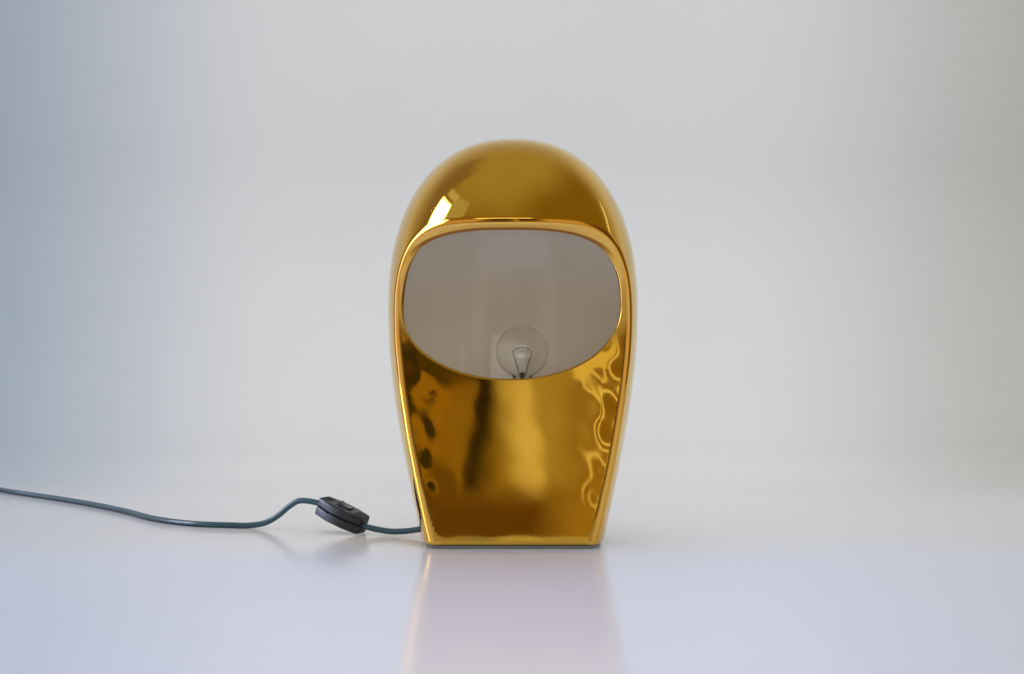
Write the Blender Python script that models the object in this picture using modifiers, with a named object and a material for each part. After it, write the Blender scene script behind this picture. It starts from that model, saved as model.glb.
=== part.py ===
"""Table lamp with a glazed ceramic body shaped like a helmet, modelled in metres with +Z up.

The origin is on the table under the body's axis, and the visor opening faces -Y. A screw-in
bulb stands in a lampholder on the raised floor inside the body. The flex leaves through a notch
in the foot, runs through an in-line rocker switch and ends in a tied coil and a two-pin plug.
"""

import math

import bmesh
import bpy
import numpy as np
from mathutils import Matrix
from mathutils import Vector

# Fits
CLEARANCE = 0.0003

# Ceramic body
BODY_TOP = 0.340
BODY_RADIUS = 0.1055
BASE_INSET = 0.030
WIDEST_HEIGHT = 0.194
DOME_POWER = 2.3
TAPER_SOFTNESS = 0.6
BASE_SQUARENESS = 0.9
BODY_WALL = 0.0065
RIDGE_ROUNDING = 0.0045
PANEL_DEPTH = 0.0515
PANEL_LEAN = math.tan(math.radians(3.2))
VISOR_DROP = 0.040
VISOR_POWER = 2.6
BROW_LIP = 0.0025
OPENING_X = -0.0020
OPENING_HEIGHT = 0.200
OPENING_HALF_WIDTH = 0.0921
OPENING_UP = 0.0590
OPENING_DOWN = 0.0628
OPENING_UPPER_POWER = 3.0
OPENING_LOWER_POWER = 2.1
LIP_BULGE = 0.0018
FOOT_WIDTH = 0.009
FOOT_ROUNDING = 0.004
FLOOR_UNDERSIDE = 0.044
FLOOR_THICKNESS = 0.007
FLOOR_ROUNDING = 0.006

# Base pad and cord outlet
PAD_THICKNESS = 0.0025
PAD_INSET = 0.003
OUTLET_ANGLE = math.radians(160)
OUTLET_WIDTH = 0.009
OUTLET_HEIGHT = 0.0066
GROMMET_PROUD = 0.001

# Stem and lampholder
HOLDER_X = 0.008
HOLDER_Y = 0.005
TUBE_RADIUS = 0.005
TUBE_BORE = 0.0037
TUBE_TAIL = 0.0015
TUBE_HEAD = 0.008
WASHER_RADIUS = 0.013
WASHER_THICKNESS = 0.0015
NUT_ACROSS_FLATS = 0.017
NUT_THICKNESS = 0.004
SPACER_RADIUS = 0.008
SPACER_HEIGHT = 0.0186
HOLDER_RADIUS = 0.01375
HOLDER_WALL = 0.0018
CAP_HEIGHT = 0.020
COLLAR_RADIUS = 0.0078
COLLAR_HEIGHT = 0.005
SHELL_HEIGHT = 0.0357
SHELL_MOUTH_RADIUS = 0.013
INSERT_LEDGE = 0.0137
INSERT_LEDGE_WIDTH = 0.0024
INSERT_HEIGHT = 0.014
SLEEVE_BORE = 0.00715
SLEEVE_WALL = 0.0005
SLEEVE_HEIGHT = 0.0235
TONGUE_WIDTH = 0.0045
TONGUE_LENGTH = 0.011
TONGUE_THICKNESS = 0.0006
TONGUE_CROWN = 0.0048
TERMINAL_SPACING = 0.0130
TERMINAL_RADIUS = 0.0018
TERMINAL_HEIGHT = 0.0022

# Bulb
TIP_RADIUS = 0.003
TIP_HEIGHT = 0.0016
BULB_INSULATOR_HEIGHT = 0.003
BULB_CAP_RADIUS = 0.0067
BULB_CAP_WALL = 0.0008
BULB_CAP_HEIGHT = 0.0195
BULB_CAP_RIM = 0.0078
BULB_LENGTH = 0.0775
BALL_RADIUS = 0.0225
NECK_RADIUS = 0.0072
NECK_ANGLE = math.radians(28)
NECK_INSERT = 0.012
GLASS_WALL = 0.0008
STEM_HEIGHT = 0.0245
STEM_RADIUS = 0.0022
STEM_FLARE_HEIGHT = 0.012
STEM_FOOT_HEIGHT = 0.002
LEAD_RADIUS = 0.0004
LEAD_RISE = 0.0165
LEAD_SPREAD = 0.008
FILAMENT_ARCH = 0.0035
FILAMENT_RADIUS = 0.0003

# Flex, switch, coil and plug
FLEX_DIAMETER = 0.0052
FLEX_FIT = 0.0003
FLEX_BEND = 0.006
ROUTE_SPACING = 0.013
SWITCH_LENGTH = 0.047
SWITCH_WIDTH = 0.024
SWITCH_END_WIDTH = 0.015
SWITCH_FLAT = 0.016
SWITCH_LOWER = 0.008
SWITCH_UPPER = 0.0077
SWITCH_ROUNDING = 0.0016
SWITCH_TILT = math.radians(20)
SWITCH_TURN = math.radians(-27)
SWITCH_LAMP_END = Vector((-0.131, 0.047, 0.0079))
FLEX_GRIP = 0.006
POCKET_LENGTH = 0.020
POCKET_WIDTH = 0.010
POCKET_DEPTH = 0.0055
ROCKER_LENGTH = 0.0125
ROCKER_FOOT = 0.010
ROCKER_WIDTH = 0.0072
ROCKER_PIVOT = 0.0035
ROCKER_RISE = 0.0068
ROCKER_DISH = 0.0010
ROCKER_TILT = math.radians(8)
ROCKER_PLAY = 0.0010
ROCKER_PIN_RADIUS = 0.001
ROCKER_PIN_LENGTH = 0.013
CONTACT_SIZE = (0.006, 0.004, 0.004)
CONTACT_SPACING = 0.010
SCREW_RADIUS = 0.0014
SCREW_LENGTH = 0.006
SCREW_SPACING = 0.031
COIL_START = Vector((-0.600, 0.445, 0))
COIL_HEADING = math.radians(138)
COIL_RADIUS = 0.031
COIL_TURNS = 5.25
COIL_PITCH = 0.0059
COIL_CLIMB = 0.5
COIL_POINTS_PER_TURN = 24
TIE_THICKNESS = 0.001
TIE_WIDTH = 0.008
TIE_TURN = 0.6
PLUG_LENGTH = 0.036
PLUG_WIDTH = 0.026
PLUG_REAR_WIDTH = 0.014
PLUG_HEIGHT = 0.0136
PLUG_TAPER = 0.0162
PLUG_ROUNDING = 0.003
PIN_RADIUS = 0.002
PIN_LENGTH = 0.019
PIN_SEAT = 0.006
PIN_SPACING = 0.0186
BOOT_LENGTH = 0.024
BOOT_COLLAR = 0.0036
BOOT_RADIUS = 0.0058
BOOT_END_RADIUS = 0.0039

# Route points of the free flex, each with its lift above flex that lies on the table
LAMP_ROUTE = ((-0.0920, 0.0334, 0.0020), (-0.1070, 0.0386, 0.0010))
LEFT_ROUTE = (
    (-0.1915, 0.0765, 0.0236),
    (-0.2005, 0.0795, 0.0186),
    (-0.2110, 0.0825, 0.0099),
    (-0.2230, 0.0855, 0.0030),
    (-0.2370, 0.0885, 0.0003),
    (-0.2560, 0.0925, 0.0),
    (-0.2900, 0.1030, 0.0),
    (-0.3330, 0.1400, 0.0),
    (-0.3780, 0.2060, 0.0),
    (-0.4300, 0.2720, 0.0),
    (-0.4950, 0.3430, 0.0),
    (-0.5580, 0.4040, 0.0003),
)
TAIL_BEND = (-0.680, 0.407)
PLUG_PLACE = (-0.700, 0.378)

# Smoothness of the faceted solids
BODY_COLUMNS = 60
FACE_RINGS = 9
BACK_RINGS = 22
INNER_RINGS = 14
LIP_RINGS = 3
RIDGE_LEAST = 0.005
RIDGE_LIMIT = 0.9
RIDGE_CROWDING = 1.4
TURN_STEPS = 28
SMALL_STEPS = 20
ARC_STEPS = 12
ROUTE_STEPS = 24
RAY_STEPS = 44
FINE_STEPS = 200
COLUMN_LIMIT = 6.0
COLUMN_CROWDING = 0.75
SHARP_ANGLE = math.radians(35)
ROUNDED_ANGLE = math.radians(25)

# Heights that follow from the sizes above
VISOR_START = OPENING_HEIGHT - VISOR_DROP
BROW_HEIGHT = OPENING_HEIGHT + OPENING_UP + BROW_LIP
BODY_BOTTOM = PAD_THICKNESS + CLEARANCE
FLOOR_TOP = FLOOR_UNDERSIDE + FLOOR_THICKNESS
SPACER_BOTTOM = FLOOR_TOP + WASHER_THICKNESS + 2 * CLEARANCE
CAP_BOTTOM = SPACER_BOTTOM + SPACER_HEIGHT + CLEARANCE
SHELL_BOTTOM = CAP_BOTTOM + CAP_HEIGHT + CLEARANCE
INSERT_BOTTOM = CAP_BOTTOM + INSERT_LEDGE + CLEARANCE
INSERT_TOP = INSERT_BOTTOM + INSERT_HEIGHT
SLEEVE_BOTTOM = INSERT_TOP + CLEARANCE
BULB_TIP_HEIGHT = SLEEVE_BOTTOM + TONGUE_CROWN + TONGUE_THICKNESS + CLEARANCE
BULB_TOP = BULB_TIP_HEIGHT + BULB_LENGTH
BALL_HEIGHT = BULB_TOP - BALL_RADIUS
BULB_CAP_BOTTOM = BULB_TIP_HEIGHT + TIP_HEIGHT + BULB_INSULATOR_HEIGHT + 2 * CLEARANCE
BULB_CAP_TOP = BULB_CAP_BOTTOM + BULB_CAP_HEIGHT
GLASS_BOTTOM = BULB_CAP_TOP - NECK_INSERT
STEM_TOP = GLASS_BOTTOM + STEM_HEIGHT
FLEX_RADIUS = FLEX_DIAMETER / 2
FLEX_BORE = FLEX_RADIUS + FLEX_FIT
COIL_BOTTOM = TIE_THICKNESS + CLEARANCE

# Point in the dome that sees every wall, and the columns' aims: out of the opening and straight down
CORE_BACK = 0.005
CORE_DROP = 0.002
CORE = np.array((0.0, CORE_BACK, BROW_HEIGHT - CORE_DROP))
OUT_AIM = Vector((0, -PANEL_DEPTH - CORE[1], OPENING_HEIGHT - CORE[2])).normalized()
DOWN_AIM = Vector((0, 0, -1))
FOCUS = math.tan(OUT_AIM.angle(DOWN_AIM) / 4)
MIDDLE_AXIS = np.array((OUT_AIM + DOWN_AIM).normalized())
RISE_AXIS = np.array((OUT_AIM - DOWN_AIM).normalized())


def clear_scene():
    """Remove whatever the file holds."""
    for found in list(bpy.data.objects):
        bpy.data.objects.remove(found)


def make_collection(name):
    """Add a collection to the scene."""
    made = bpy.data.collections.new(name)
    bpy.context.scene.collection.children.link(made)
    return made


def finish(name, colour, roughness, metallic=0.0, alpha=1.0):
    """Make a plain material from a colour and its gloss."""
    material = bpy.data.materials.new(name)
    material.use_nodes = True
    shader = material.node_tree.nodes["Principled BSDF"]
    shader.inputs["Base Color"].default_value = (*colour, 1.0)
    shader.inputs["Roughness"].default_value = roughness
    shader.inputs["Metallic"].default_value = metallic
    shader.inputs["Alpha"].default_value = alpha
    return material


def add_object(name, data, material, collection=None):
    """Place new geometry in its collection with its own material."""
    made = bpy.data.objects.new(name, data)
    if material:
        data.materials.append(material)
    (collection or PARTS).objects.link(made)
    return made


def add_mesh(name, shape, material, collection=None):
    """Turn a bmesh into an object."""
    mesh = bpy.data.meshes.new(name)
    shape.to_mesh(mesh)
    shape.free()
    return add_object(name, mesh, material, collection)


def settle(made):
    """Apply an object's modifiers or turn its curve into a mesh, and shade it smooth."""
    bpy.context.view_layer.update()
    evaluated = made.evaluated_get(bpy.context.evaluated_depsgraph_get())
    mesh = bpy.data.meshes.new_from_object(evaluated)
    name = made.name
    home = made.users_collection[0]
    place = made.matrix_world.copy()
    parent = made.parent
    bpy.data.objects.remove(made)
    shape = bmesh.new()
    shape.from_mesh(mesh)
    bmesh.ops.remove_doubles(shape, verts=shape.verts, dist=1e-6)
    shape.to_mesh(mesh)
    shape.free()
    mesh.shade_smooth()
    mesh.set_sharp_from_angle(angle=SHARP_ANGLE)
    result = bpy.data.objects.new(name, mesh)
    home.objects.link(result)
    result.parent = parent
    result.matrix_world = place
    return result


def cut(made, cutter):
    """Take a cutter away from a piece."""
    cutter.hide_render = True
    cutter.display_type = "WIRE"
    change = made.modifiers.new(cutter.name, "BOOLEAN")
    change.operation = "DIFFERENCE"
    change.object = cutter


def turned(name, outline, material, centre, steps=TURN_STEPS, collection=None):
    """Turn an outline of (radius, height) points that runs down its outer side."""
    shape = bmesh.new()
    verts = [shape.verts.new((radius, 0, height)) for radius, height in outline]
    for start, end in zip(verts, verts[1:]):
        shape.edges.new((start, end))
    if outline[0][0] > 0 and outline[-1][0] > 0:
        shape.edges.new((verts[-1], verts[0]))
    made = add_mesh(name, shape, material, collection)
    screw = made.modifiers.new("turn", "SCREW")
    screw.axis = "Z"
    screw.angle = math.tau
    screw.steps = steps
    screw.render_steps = steps
    screw.use_merge_vertices = True
    screw.merge_threshold = 1e-6
    made.location = centre
    return settle(made)


def ring(name, inner, outer, bottom, top, material, centre, steps=TURN_STEPS):
    """Turn a plain tube or washer."""
    outline = ((outer, top), (outer, bottom), (inner, bottom), (inner, top))
    return turned(name, outline, material, centre, steps)


def prism(name, outline, bottom, top, material, collection=None):
    """Raise a flat outline between two heights."""
    shape = bmesh.new()
    floor = shape.faces.new([shape.verts.new((x, y, bottom)) for x, y in outline])
    raised = bmesh.ops.extrude_face_region(shape, geom=[floor])
    lifted = [item for item in raised["geom"] if isinstance(item, bmesh.types.BMVert)]
    bmesh.ops.translate(shape, verts=lifted, vec=(0, 0, top - bottom))
    bmesh.ops.recalc_face_normals(shape, faces=shape.faces)
    return add_mesh(name, shape, material, collection)


def bar(name, radius, length, material, steps=SMALL_STEPS, collection=None):
    """Make a round bar along Z, centred on the origin."""
    shape = bmesh.new()
    bmesh.ops.create_cone(
        shape, cap_ends=True, segments=steps, radius1=radius, radius2=radius, depth=length)
    return add_mesh(name, shape, material, collection)


def block(name, size, centre, material, collection=None):
    """Make a rectangular block."""
    shape = bmesh.new()
    bmesh.ops.create_cube(shape, size=1)
    bmesh.ops.scale(shape, vec=size, verts=shape.verts)
    bmesh.ops.translate(shape, vec=centre, verts=shape.verts)
    return add_mesh(name, shape, material, collection)


def round_edges(made, width, segments=2):
    """Round a piece's edges."""
    bevel = made.modifiers.new("round", "BEVEL")
    bevel.width = width
    bevel.segments = segments
    bevel.limit_method = "ANGLE"
    bevel.angle_limit = ROUNDED_ANGLE


def tube(name, points, radius, material, resolution=2):
    """Make a solid tube along points."""
    curve = bpy.data.curves.new(name, "CURVE")
    curve.dimensions = "3D"
    curve.bevel_depth = radius
    curve.bevel_resolution = resolution
    curve.use_fill_caps = True
    spline = curve.splines.new("POLY")
    spline.points.add(len(points) - 1)
    for target, point in zip(spline.points, points):
        target.co = (*point, 1)
    return settle(add_object(name, curve, material))


def smooth_route(points, spacing):
    """Evenly spaced points on a smooth curve through route points; its end runs stay straight."""
    route = np.array([tuple(point) for point in points])
    knots = np.sqrt(np.linalg.norm(np.diff(route, axis=0), axis=1))
    fine = []
    for index in range(1, len(route) - 2):
        before, start, end, after = route[index - 1:index + 3]
        gap_before, gap, gap_after = knots[index - 1:index + 2]
        straight = (end - start) / gap
        lead = (start - before) / gap_before - (end - before) / (gap_before + gap) + straight
        trail = straight - (after - start) / (gap + gap_after) + (after - end) / gap_after
        for share in np.linspace(0, 1, ROUTE_STEPS, endpoint=False):
            fine.append(
                (2 * share**3 - 3 * share**2 + 1) * start
                + (share**3 - 2 * share**2 + share) * gap * lead
                + (3 * share**2 - 2 * share**3) * end
                + (share**3 - share**2) * gap * trail)
    fine.append(route[-2])
    fine = np.array(fine)
    run = np.concatenate(((0,), np.cumsum(np.linalg.norm(np.diff(fine, axis=0), axis=1))))
    wanted = np.linspace(0, run[-1], max(2, round(run[-1] / spacing)) + 1)
    spaced = np.column_stack([np.interp(wanted, run, fine[:, axis]) for axis in range(3)])
    return np.vstack((route[0], spaced, route[-1]))


def above_table(route):
    """Route points with their lifts turned into heights above the table."""
    return [Vector((x, y, FLEX_RADIUS + lift)) for x, y, lift in route]


def route_length(points):
    """Length along a list of points."""
    return float(np.linalg.norm(np.diff(np.array(points), axis=0), axis=1).sum())


def smooth_max(first, second, rounding):
    """Greater of two depths, with the edge where they meet rounded."""
    overlap = np.clip(rounding - np.abs(first - second), 0, None)
    return np.maximum(first, second) + overlap**2 / (4 * rounding)


def egg_depth(points):
    """Depth of points in the turned egg that the body starts from, negative inside."""
    x, y, z = points[..., 0], points[..., 1], points[..., 2]
    drop = np.clip((WIDEST_HEIGHT - z) / WIDEST_HEIGHT, 0, None)
    power = 2 + BASE_SQUARENESS * np.clip(drop, 0, 1)**2
    radius = (np.abs(x)**power + np.abs(y)**power)**(1 / power)
    slope = BASE_INSET / (math.hypot(1, TAPER_SOFTNESS) - TAPER_SOFTNESS)
    lower = radius - BODY_RADIUS + slope * (np.hypot(drop, TAPER_SOFTNESS) - TAPER_SOFTNESS)
    rise = np.clip((z - WIDEST_HEIGHT) / (BODY_TOP - WIDEST_HEIGHT), 0, None)
    dome = ((radius / BODY_RADIUS)**DOME_POWER + rise**DOME_POWER)**(1 / DOME_POWER)
    return np.where(z > WIDEST_HEIGHT, BODY_RADIUS * (dome - 1), lower)


def brow_depth():
    """How far the dome stands in front of the axis at the brow."""
    rise = (BROW_HEIGHT - WIDEST_HEIGHT) / (BODY_TOP - WIDEST_HEIGHT)
    return BODY_RADIUS * (1 - rise**DOME_POWER)**(1 / DOME_POWER)


def face_depth(points):
    """Depth of points behind the leaning flat panel and the visor that curves forward over it."""
    y, z = points[..., 1], points[..., 2]
    front = brow_depth() + PANEL_LEAN * BROW_HEIGHT
    reach = front - PANEL_DEPTH
    back = np.clip((y - PANEL_LEAN * z + front) / reach, 0, None)
    rise = np.clip((z - VISOR_START) / (BROW_HEIGHT - VISOR_START), 0, None)
    return reach * (1 - (back**VISOR_POWER + rise**VISOR_POWER)**(1 / VISOR_POWER))


def outer_depth(points):
    """Depth of points in the body's outside."""
    return smooth_max(egg_depth(points), face_depth(points), RIDGE_ROUNDING)


def hollow_depth(points):
    """Depth of points in the body's hollow, one wall inside the outside."""
    return outer_depth(points) + BODY_WALL


def opening_share(points):
    """Below 1 inside the visor opening as seen from the front."""
    across = np.abs(points[..., 0] - OPENING_X) / OPENING_HALF_WIDTH
    up = points[..., 2] - OPENING_HEIGHT
    height = np.where(up > 0, up / OPENING_UP, -up / OPENING_DOWN)
    power = np.where(up > 0, OPENING_UPPER_POWER, OPENING_LOWER_POWER)
    return across**power + height**power


def column_directions(around, along):
    """Directions of columns that run from the front round the body to straight down."""
    spread = np.cosh(along) - np.cos(around)
    reach = FOCUS**2 * (np.cosh(along) + np.cos(around))
    sideways = (2 * FOCUS * np.sin(around))[..., None] * np.array((1.0, 0.0, 0.0))
    rising = (2 * FOCUS * np.sinh(along))[..., None] * RISE_AXIS
    forward = (spread - reach)[..., None] * MIDDLE_AXIS
    return (sideways + rising + forward) / (spread + reach)[..., None]


def column_place(points):
    """Column values of points, the inverse of column_directions."""
    rays = points - CORE
    rays = rays / np.linalg.norm(rays, axis=-1, keepdims=True)
    lean = 1 + rays @ MIDDLE_AXIS
    across = rays[..., 0] / lean
    rise = rays @ RISE_AXIS / lean
    along = 0.5 * np.log(((rise + FOCUS)**2 + across**2) / ((rise - FOCUS)**2 + across**2))
    around = np.arctan2(2 * FOCUS * across, across**2 + rise**2 - FOCUS**2)
    return around, along


def surface_points(around, along, depth_of):
    """Points where the columns' rays from the core leave a form."""
    rays = column_directions(around, along)
    near = np.zeros(rays.shape[:-1])
    far = np.full(rays.shape[:-1], 2 * BODY_TOP)
    for _ in range(RAY_STEPS):
        middle = (near + far) / 2
        outside = depth_of(CORE + middle[..., None] * rays) > 0
        far = np.where(outside, middle, far)
        near = np.where(outside, near, middle)
    return CORE + near[..., None] * rays


def border(around, depth_of, is_past):
    """Where each column passes a border on its way down from the opening."""
    front = np.full_like(around, COLUMN_LIMIT)
    foot = -front
    for _ in range(RAY_STEPS):
        middle = (front + foot) / 2
        past = is_past(surface_points(around, middle, depth_of))
        foot = np.where(past, middle, foot)
        front = np.where(past, front, middle)
    return (front + foot) / 2


def outward(points, depth_of):
    """Unit normals of a form at points on it."""
    step = 1e-5
    slopes = [depth_of(points + step * axis) - depth_of(points - step * axis) for axis in np.eye(3)]
    normals = np.stack(slopes, axis=-1)
    return normals / np.linalg.norm(normals, axis=-1, keepdims=True)


def inward_level(points, depth_of):
    """Level unit vectors into a form."""
    normals = outward(points, depth_of)
    normals[..., 2] = 0
    return -normals / np.linalg.norm(normals, axis=-1, keepdims=True)


def at_height(around, depth_of, height):
    """Ring of points round a form at one height below its widest."""
    along = border(around, depth_of, lambda points: points[..., 2] < height)
    return surface_points(around, along, depth_of)


def even_rings(around_of, along_start, along_end, depth_of, spread):
    """Rings between two borders; spread turns each column's length and ridge into places."""
    shares = np.linspace(0, 1, FINE_STEPS)[:, None]
    fine = surface_points(around_of(shares), along_start + (along_end - along_start) * shares, depth_of)
    run = np.linalg.norm(np.diff(fine, axis=0), axis=-1).cumsum(axis=0)
    run = np.vstack((np.zeros(run.shape[1]), run))
    columns = np.arange(run.shape[1])
    lead = egg_depth(fine) - face_depth(fine)
    last = np.clip((lead < 0).sum(axis=0) - 1, 0, FINE_STEPS - 2)
    here, after = lead[last, columns], lead[last + 1, columns]
    part_way = np.clip(here / (here - after), 0, 1)
    ridge = run[last, columns] + part_way * (run[last + 1, columns] - run[last, columns])
    wanted = spread(run[-1], ridge)
    placed = np.stack([np.interp(wanted[:, i], run[:, i], shares[:, 0]) for i in columns], axis=1)
    along = along_start + (along_end - along_start) * placed
    return surface_points(around_of(placed), along, depth_of)


def split_at_ridge(whole, ridge):
    """Places along the columns before and behind the ridge round the face."""
    ridge = np.clip(ridge, RIDGE_LEAST * whole, RIDGE_LIMIT * whole)
    before = np.linspace(0, 1, FACE_RINGS, endpoint=False)[:, None] * ridge
    behind = np.linspace(0, 1, BACK_RINGS)[:, None]**RIDGE_CROWDING * (whole - ridge)
    return np.vstack((before, ridge + behind))


def spread_evenly(whole, _ridge):
    """Evenly spaced places along the columns of the hollow."""
    return np.linspace(0, 1, INNER_RINGS)[:, None] * whole


def past_opening(points):
    """Whether points lie outside the opening or behind the core."""
    return (opening_share(points) > 1) | (points[..., 1] > CORE_BACK)


def quarter_rings(points, inwards, rounding, rise):
    """Rings that round a wall into a level face; rise is -1 below the wall and 1 above."""
    rings = []
    for turn in (math.radians(45), math.radians(90)):
        shift = inwards * rounding * (1 - math.cos(turn))
        rings.append(points + shift + np.array((0, 0, rise * rounding * math.sin(turn))))
    return rings


def make_body(glaze):
    """Loft the hollow ceramic body as one closed skin of rings round the opening and the foot."""
    even = np.linspace(-math.pi, math.pi, BODY_COLUMNS, endpoint=False)
    around = even - COLUMN_CROWDING * np.sin(even)
    opening = border(around, outer_depth, past_opening)
    foot_height = BODY_BOTTOM + FOOT_ROUNDING
    foot = border(around, outer_depth, lambda points: points[..., 2] < foot_height)
    outer = even_rings(lambda share: around + 0 * share, opening, foot, outer_depth, split_at_ridge)
    rings = list(outer)

    inwards = inward_level(outer[-1], outer_depth)
    rings += quarter_rings(outer[-1], inwards, FOOT_ROUNDING, -1)
    foot_inner = outer[-1] + inwards * FOOT_WIDTH
    foot_inner[:, 2] = BODY_BOTTOM
    rings.append(foot_inner)
    for height in ((BODY_BOTTOM + FLOOR_UNDERSIDE) / 2, FLOOR_UNDERSIDE):
        wall = at_height(around, outer_depth, height)
        rings.append(wall + inward_level(wall, outer_depth) * FOOT_WIDTH)

    hole = np.array((HOLDER_X, HOLDER_Y))
    spokes = rings[-1][:, :2] - hole
    spokes = spokes / np.linalg.norm(spokes, axis=1, keepdims=True)
    hole_edge = hole + spokes * (TUBE_RADIUS + CLEARANCE)
    for height in (FLOOR_UNDERSIDE, FLOOR_TOP):
        rings.append(np.column_stack((hole_edge, np.full(BODY_COLUMNS, height))))

    floor_height = FLOOR_TOP + FLOOR_ROUNDING
    floor = border(around, hollow_depth, lambda points: points[..., 2] < floor_height)
    lip = outer[0] - outward(outer[0], outer_depth) * BODY_WALL
    lip_around, lip_along = column_place(lip)
    lip_shift = (lip_around - around + math.pi) % math.tau - math.pi
    inner = even_rings(
        lambda share: around + lip_shift * share**2, floor, lip_along, hollow_depth, spread_evenly)
    rings += quarter_rings(inner[0], inward_level(inner[0], hollow_depth), FLOOR_ROUNDING, -1)[::-1]
    rings += list(inner)

    middle = (inner[-1] + outer[0]) / 2
    half = (outer[0] - inner[-1]) / 2
    edge = np.roll(middle, -1, axis=0) - np.roll(middle, 1, axis=0)
    inside = np.cross(half, edge)
    inside = inside / np.linalg.norm(inside, axis=1, keepdims=True)
    to_centre = np.array((OPENING_X, middle[:, 1].mean(), OPENING_HEIGHT)) - middle
    inside = inside * np.sign(np.einsum("ij,ij->i", inside, to_centre))[:, None]
    for turn in np.linspace(-math.pi / 2, math.pi / 2, LIP_RINGS + 2)[1:-1]:
        rings.append(middle + half * math.sin(turn) + inside * LIP_BULGE * math.cos(turn))

    shape = bmesh.new()
    loops = [[shape.verts.new(point) for point in level] for level in rings]
    for here, after in zip(loops, loops[1:] + loops[:1]):
        for index in range(BODY_COLUMNS):
            following = (index + 1) % BODY_COLUMNS
            shape.faces.new((here[index], here[following], after[following], after[index]))
    bmesh.ops.recalc_face_normals(shape, faces=shape.faces)
    body = add_mesh("ceramic_body", shape, glaze)
    body.data.shade_smooth()
    return body


def outlet_wall(depth):
    """Point in the foot's wall on the cord outlet's line, a depth in from its outside."""
    heading = Vector((math.cos(OUTLET_ANGLE), math.sin(OUTLET_ANGLE), 0))
    near, far = 0.0, 2 * BODY_RADIUS
    for _ in range(RAY_STEPS):
        middle = (near + far) / 2
        point = np.array((*(heading * middle).xy, OUTLET_HEIGHT))
        near, far = (near, middle) if outer_depth(point) > 0 else (middle, far)
    return heading * (near - depth) + Vector((0, 0, OUTLET_HEIGHT))


def make_outlet(body, rubber):
    """Cut the cord notch through the foot and line it with a grommet."""
    outside = outlet_wall(-GROMMET_PROUD)
    inside = outlet_wall(FOOT_WIDTH + GROMMET_PROUD)
    middle = (outside + inside) / 2
    lay = Matrix.Translation(middle) @ Matrix.Rotation(OUTLET_ANGLE, 4, "Z")
    lay = lay @ Matrix.Rotation(math.pi / 2, 4, "Y")

    def arch(radius, drop):
        """Half-round outline with straight legs; its X axis points down."""
        turns = np.linspace(math.pi / 2, 3 * math.pi / 2, ARC_STEPS + 1)
        bow = [(radius * math.cos(turn), radius * math.sin(turn)) for turn in turns]
        return [*bow, (drop, -radius), (drop, radius)]

    reach = (outside - inside).length / 2
    notch_outline = arch(OUTLET_WIDTH / 2, 2 * OUTLET_HEIGHT)
    notch = prism("cord_notch", notch_outline, -3 * reach, 3 * reach, None, CUTTERS)
    notch.matrix_world = lay
    cut(body, notch)
    legs = OUTLET_HEIGHT - PAD_THICKNESS - CLEARANCE
    grommet = prism("cord_grommet", arch(OUTLET_WIDTH / 2 - CLEARANCE, legs), -reach, reach, rubber)
    grommet.matrix_world = lay
    bore = bar("grommet_bore", FLEX_BORE, 4 * reach, None, collection=CUTTERS)
    bore.matrix_world = lay
    cut(grommet, bore)
    return outside, inside


def make_pad(felt):
    """Cut the felt pad to the foot's outline."""
    turns = np.linspace(0, math.tau, BODY_COLUMNS, endpoint=False)
    near = np.zeros(BODY_COLUMNS)
    far = np.full(BODY_COLUMNS, 2 * BODY_RADIUS)
    heading = np.column_stack((np.cos(turns), np.sin(turns), np.zeros(BODY_COLUMNS)))
    floor = np.array((0, 0, BODY_BOTTOM))
    for _ in range(RAY_STEPS):
        middle = (near + far) / 2
        outside = outer_depth(floor + middle[:, None] * heading) > -PAD_INSET
        far = np.where(outside, middle, far)
        near = np.where(outside, near, middle)
    outline = [(x, y) for x, y, _ in near[:, None] * heading]
    prism("base_pad", outline, 0, PAD_THICKNESS, felt)


def make_stem(steel, brass):
    """Make the threaded tube that carries the lampholder, its nut, washers and spacer."""
    centre = (HOLDER_X, HOLDER_Y, 0)
    bore = TUBE_RADIUS + CLEARANCE
    washer_top = FLOOR_UNDERSIDE - CLEARANCE
    nut_top = washer_top - WASHER_THICKNESS - CLEARANCE
    nut_bottom = nut_top - NUT_THICKNESS
    tube_bottom = nut_bottom - TUBE_TAIL
    tube_top = CAP_BOTTOM + TUBE_HEAD
    ring("stem_tube", TUBE_BORE, TUBE_RADIUS, tube_bottom, tube_top, steel, centre, SMALL_STEPS)
    ring("lower_washer", bore, WASHER_RADIUS, washer_top - WASHER_THICKNESS, washer_top, steel, centre)
    upper_bottom = FLOOR_TOP + CLEARANCE
    upper_top = upper_bottom + WASHER_THICKNESS
    ring("upper_washer", bore, WASHER_RADIUS, upper_bottom, upper_top, steel, centre)
    spacer_top = SPACER_BOTTOM + SPACER_HEIGHT
    ring("spacer_sleeve", bore, SPACER_RADIUS, SPACER_BOTTOM, spacer_top, brass, centre)
    corner = NUT_ACROSS_FLATS / math.sqrt(3)
    sides = np.arange(6) * math.pi / 3
    flats = [(corner * math.cos(side), corner * math.sin(side)) for side in sides]
    nut = prism("lower_nut", flats, nut_bottom, nut_top, steel)
    nut.location = centre
    bore_cutter = bar("nut_bore", bore, NUT_THICKNESS * 3, None, collection=CUTTERS)
    bore_cutter.location = (HOLDER_X, HOLDER_Y, nut_bottom)
    cut(nut, bore_cutter)
    return tube_bottom


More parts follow.
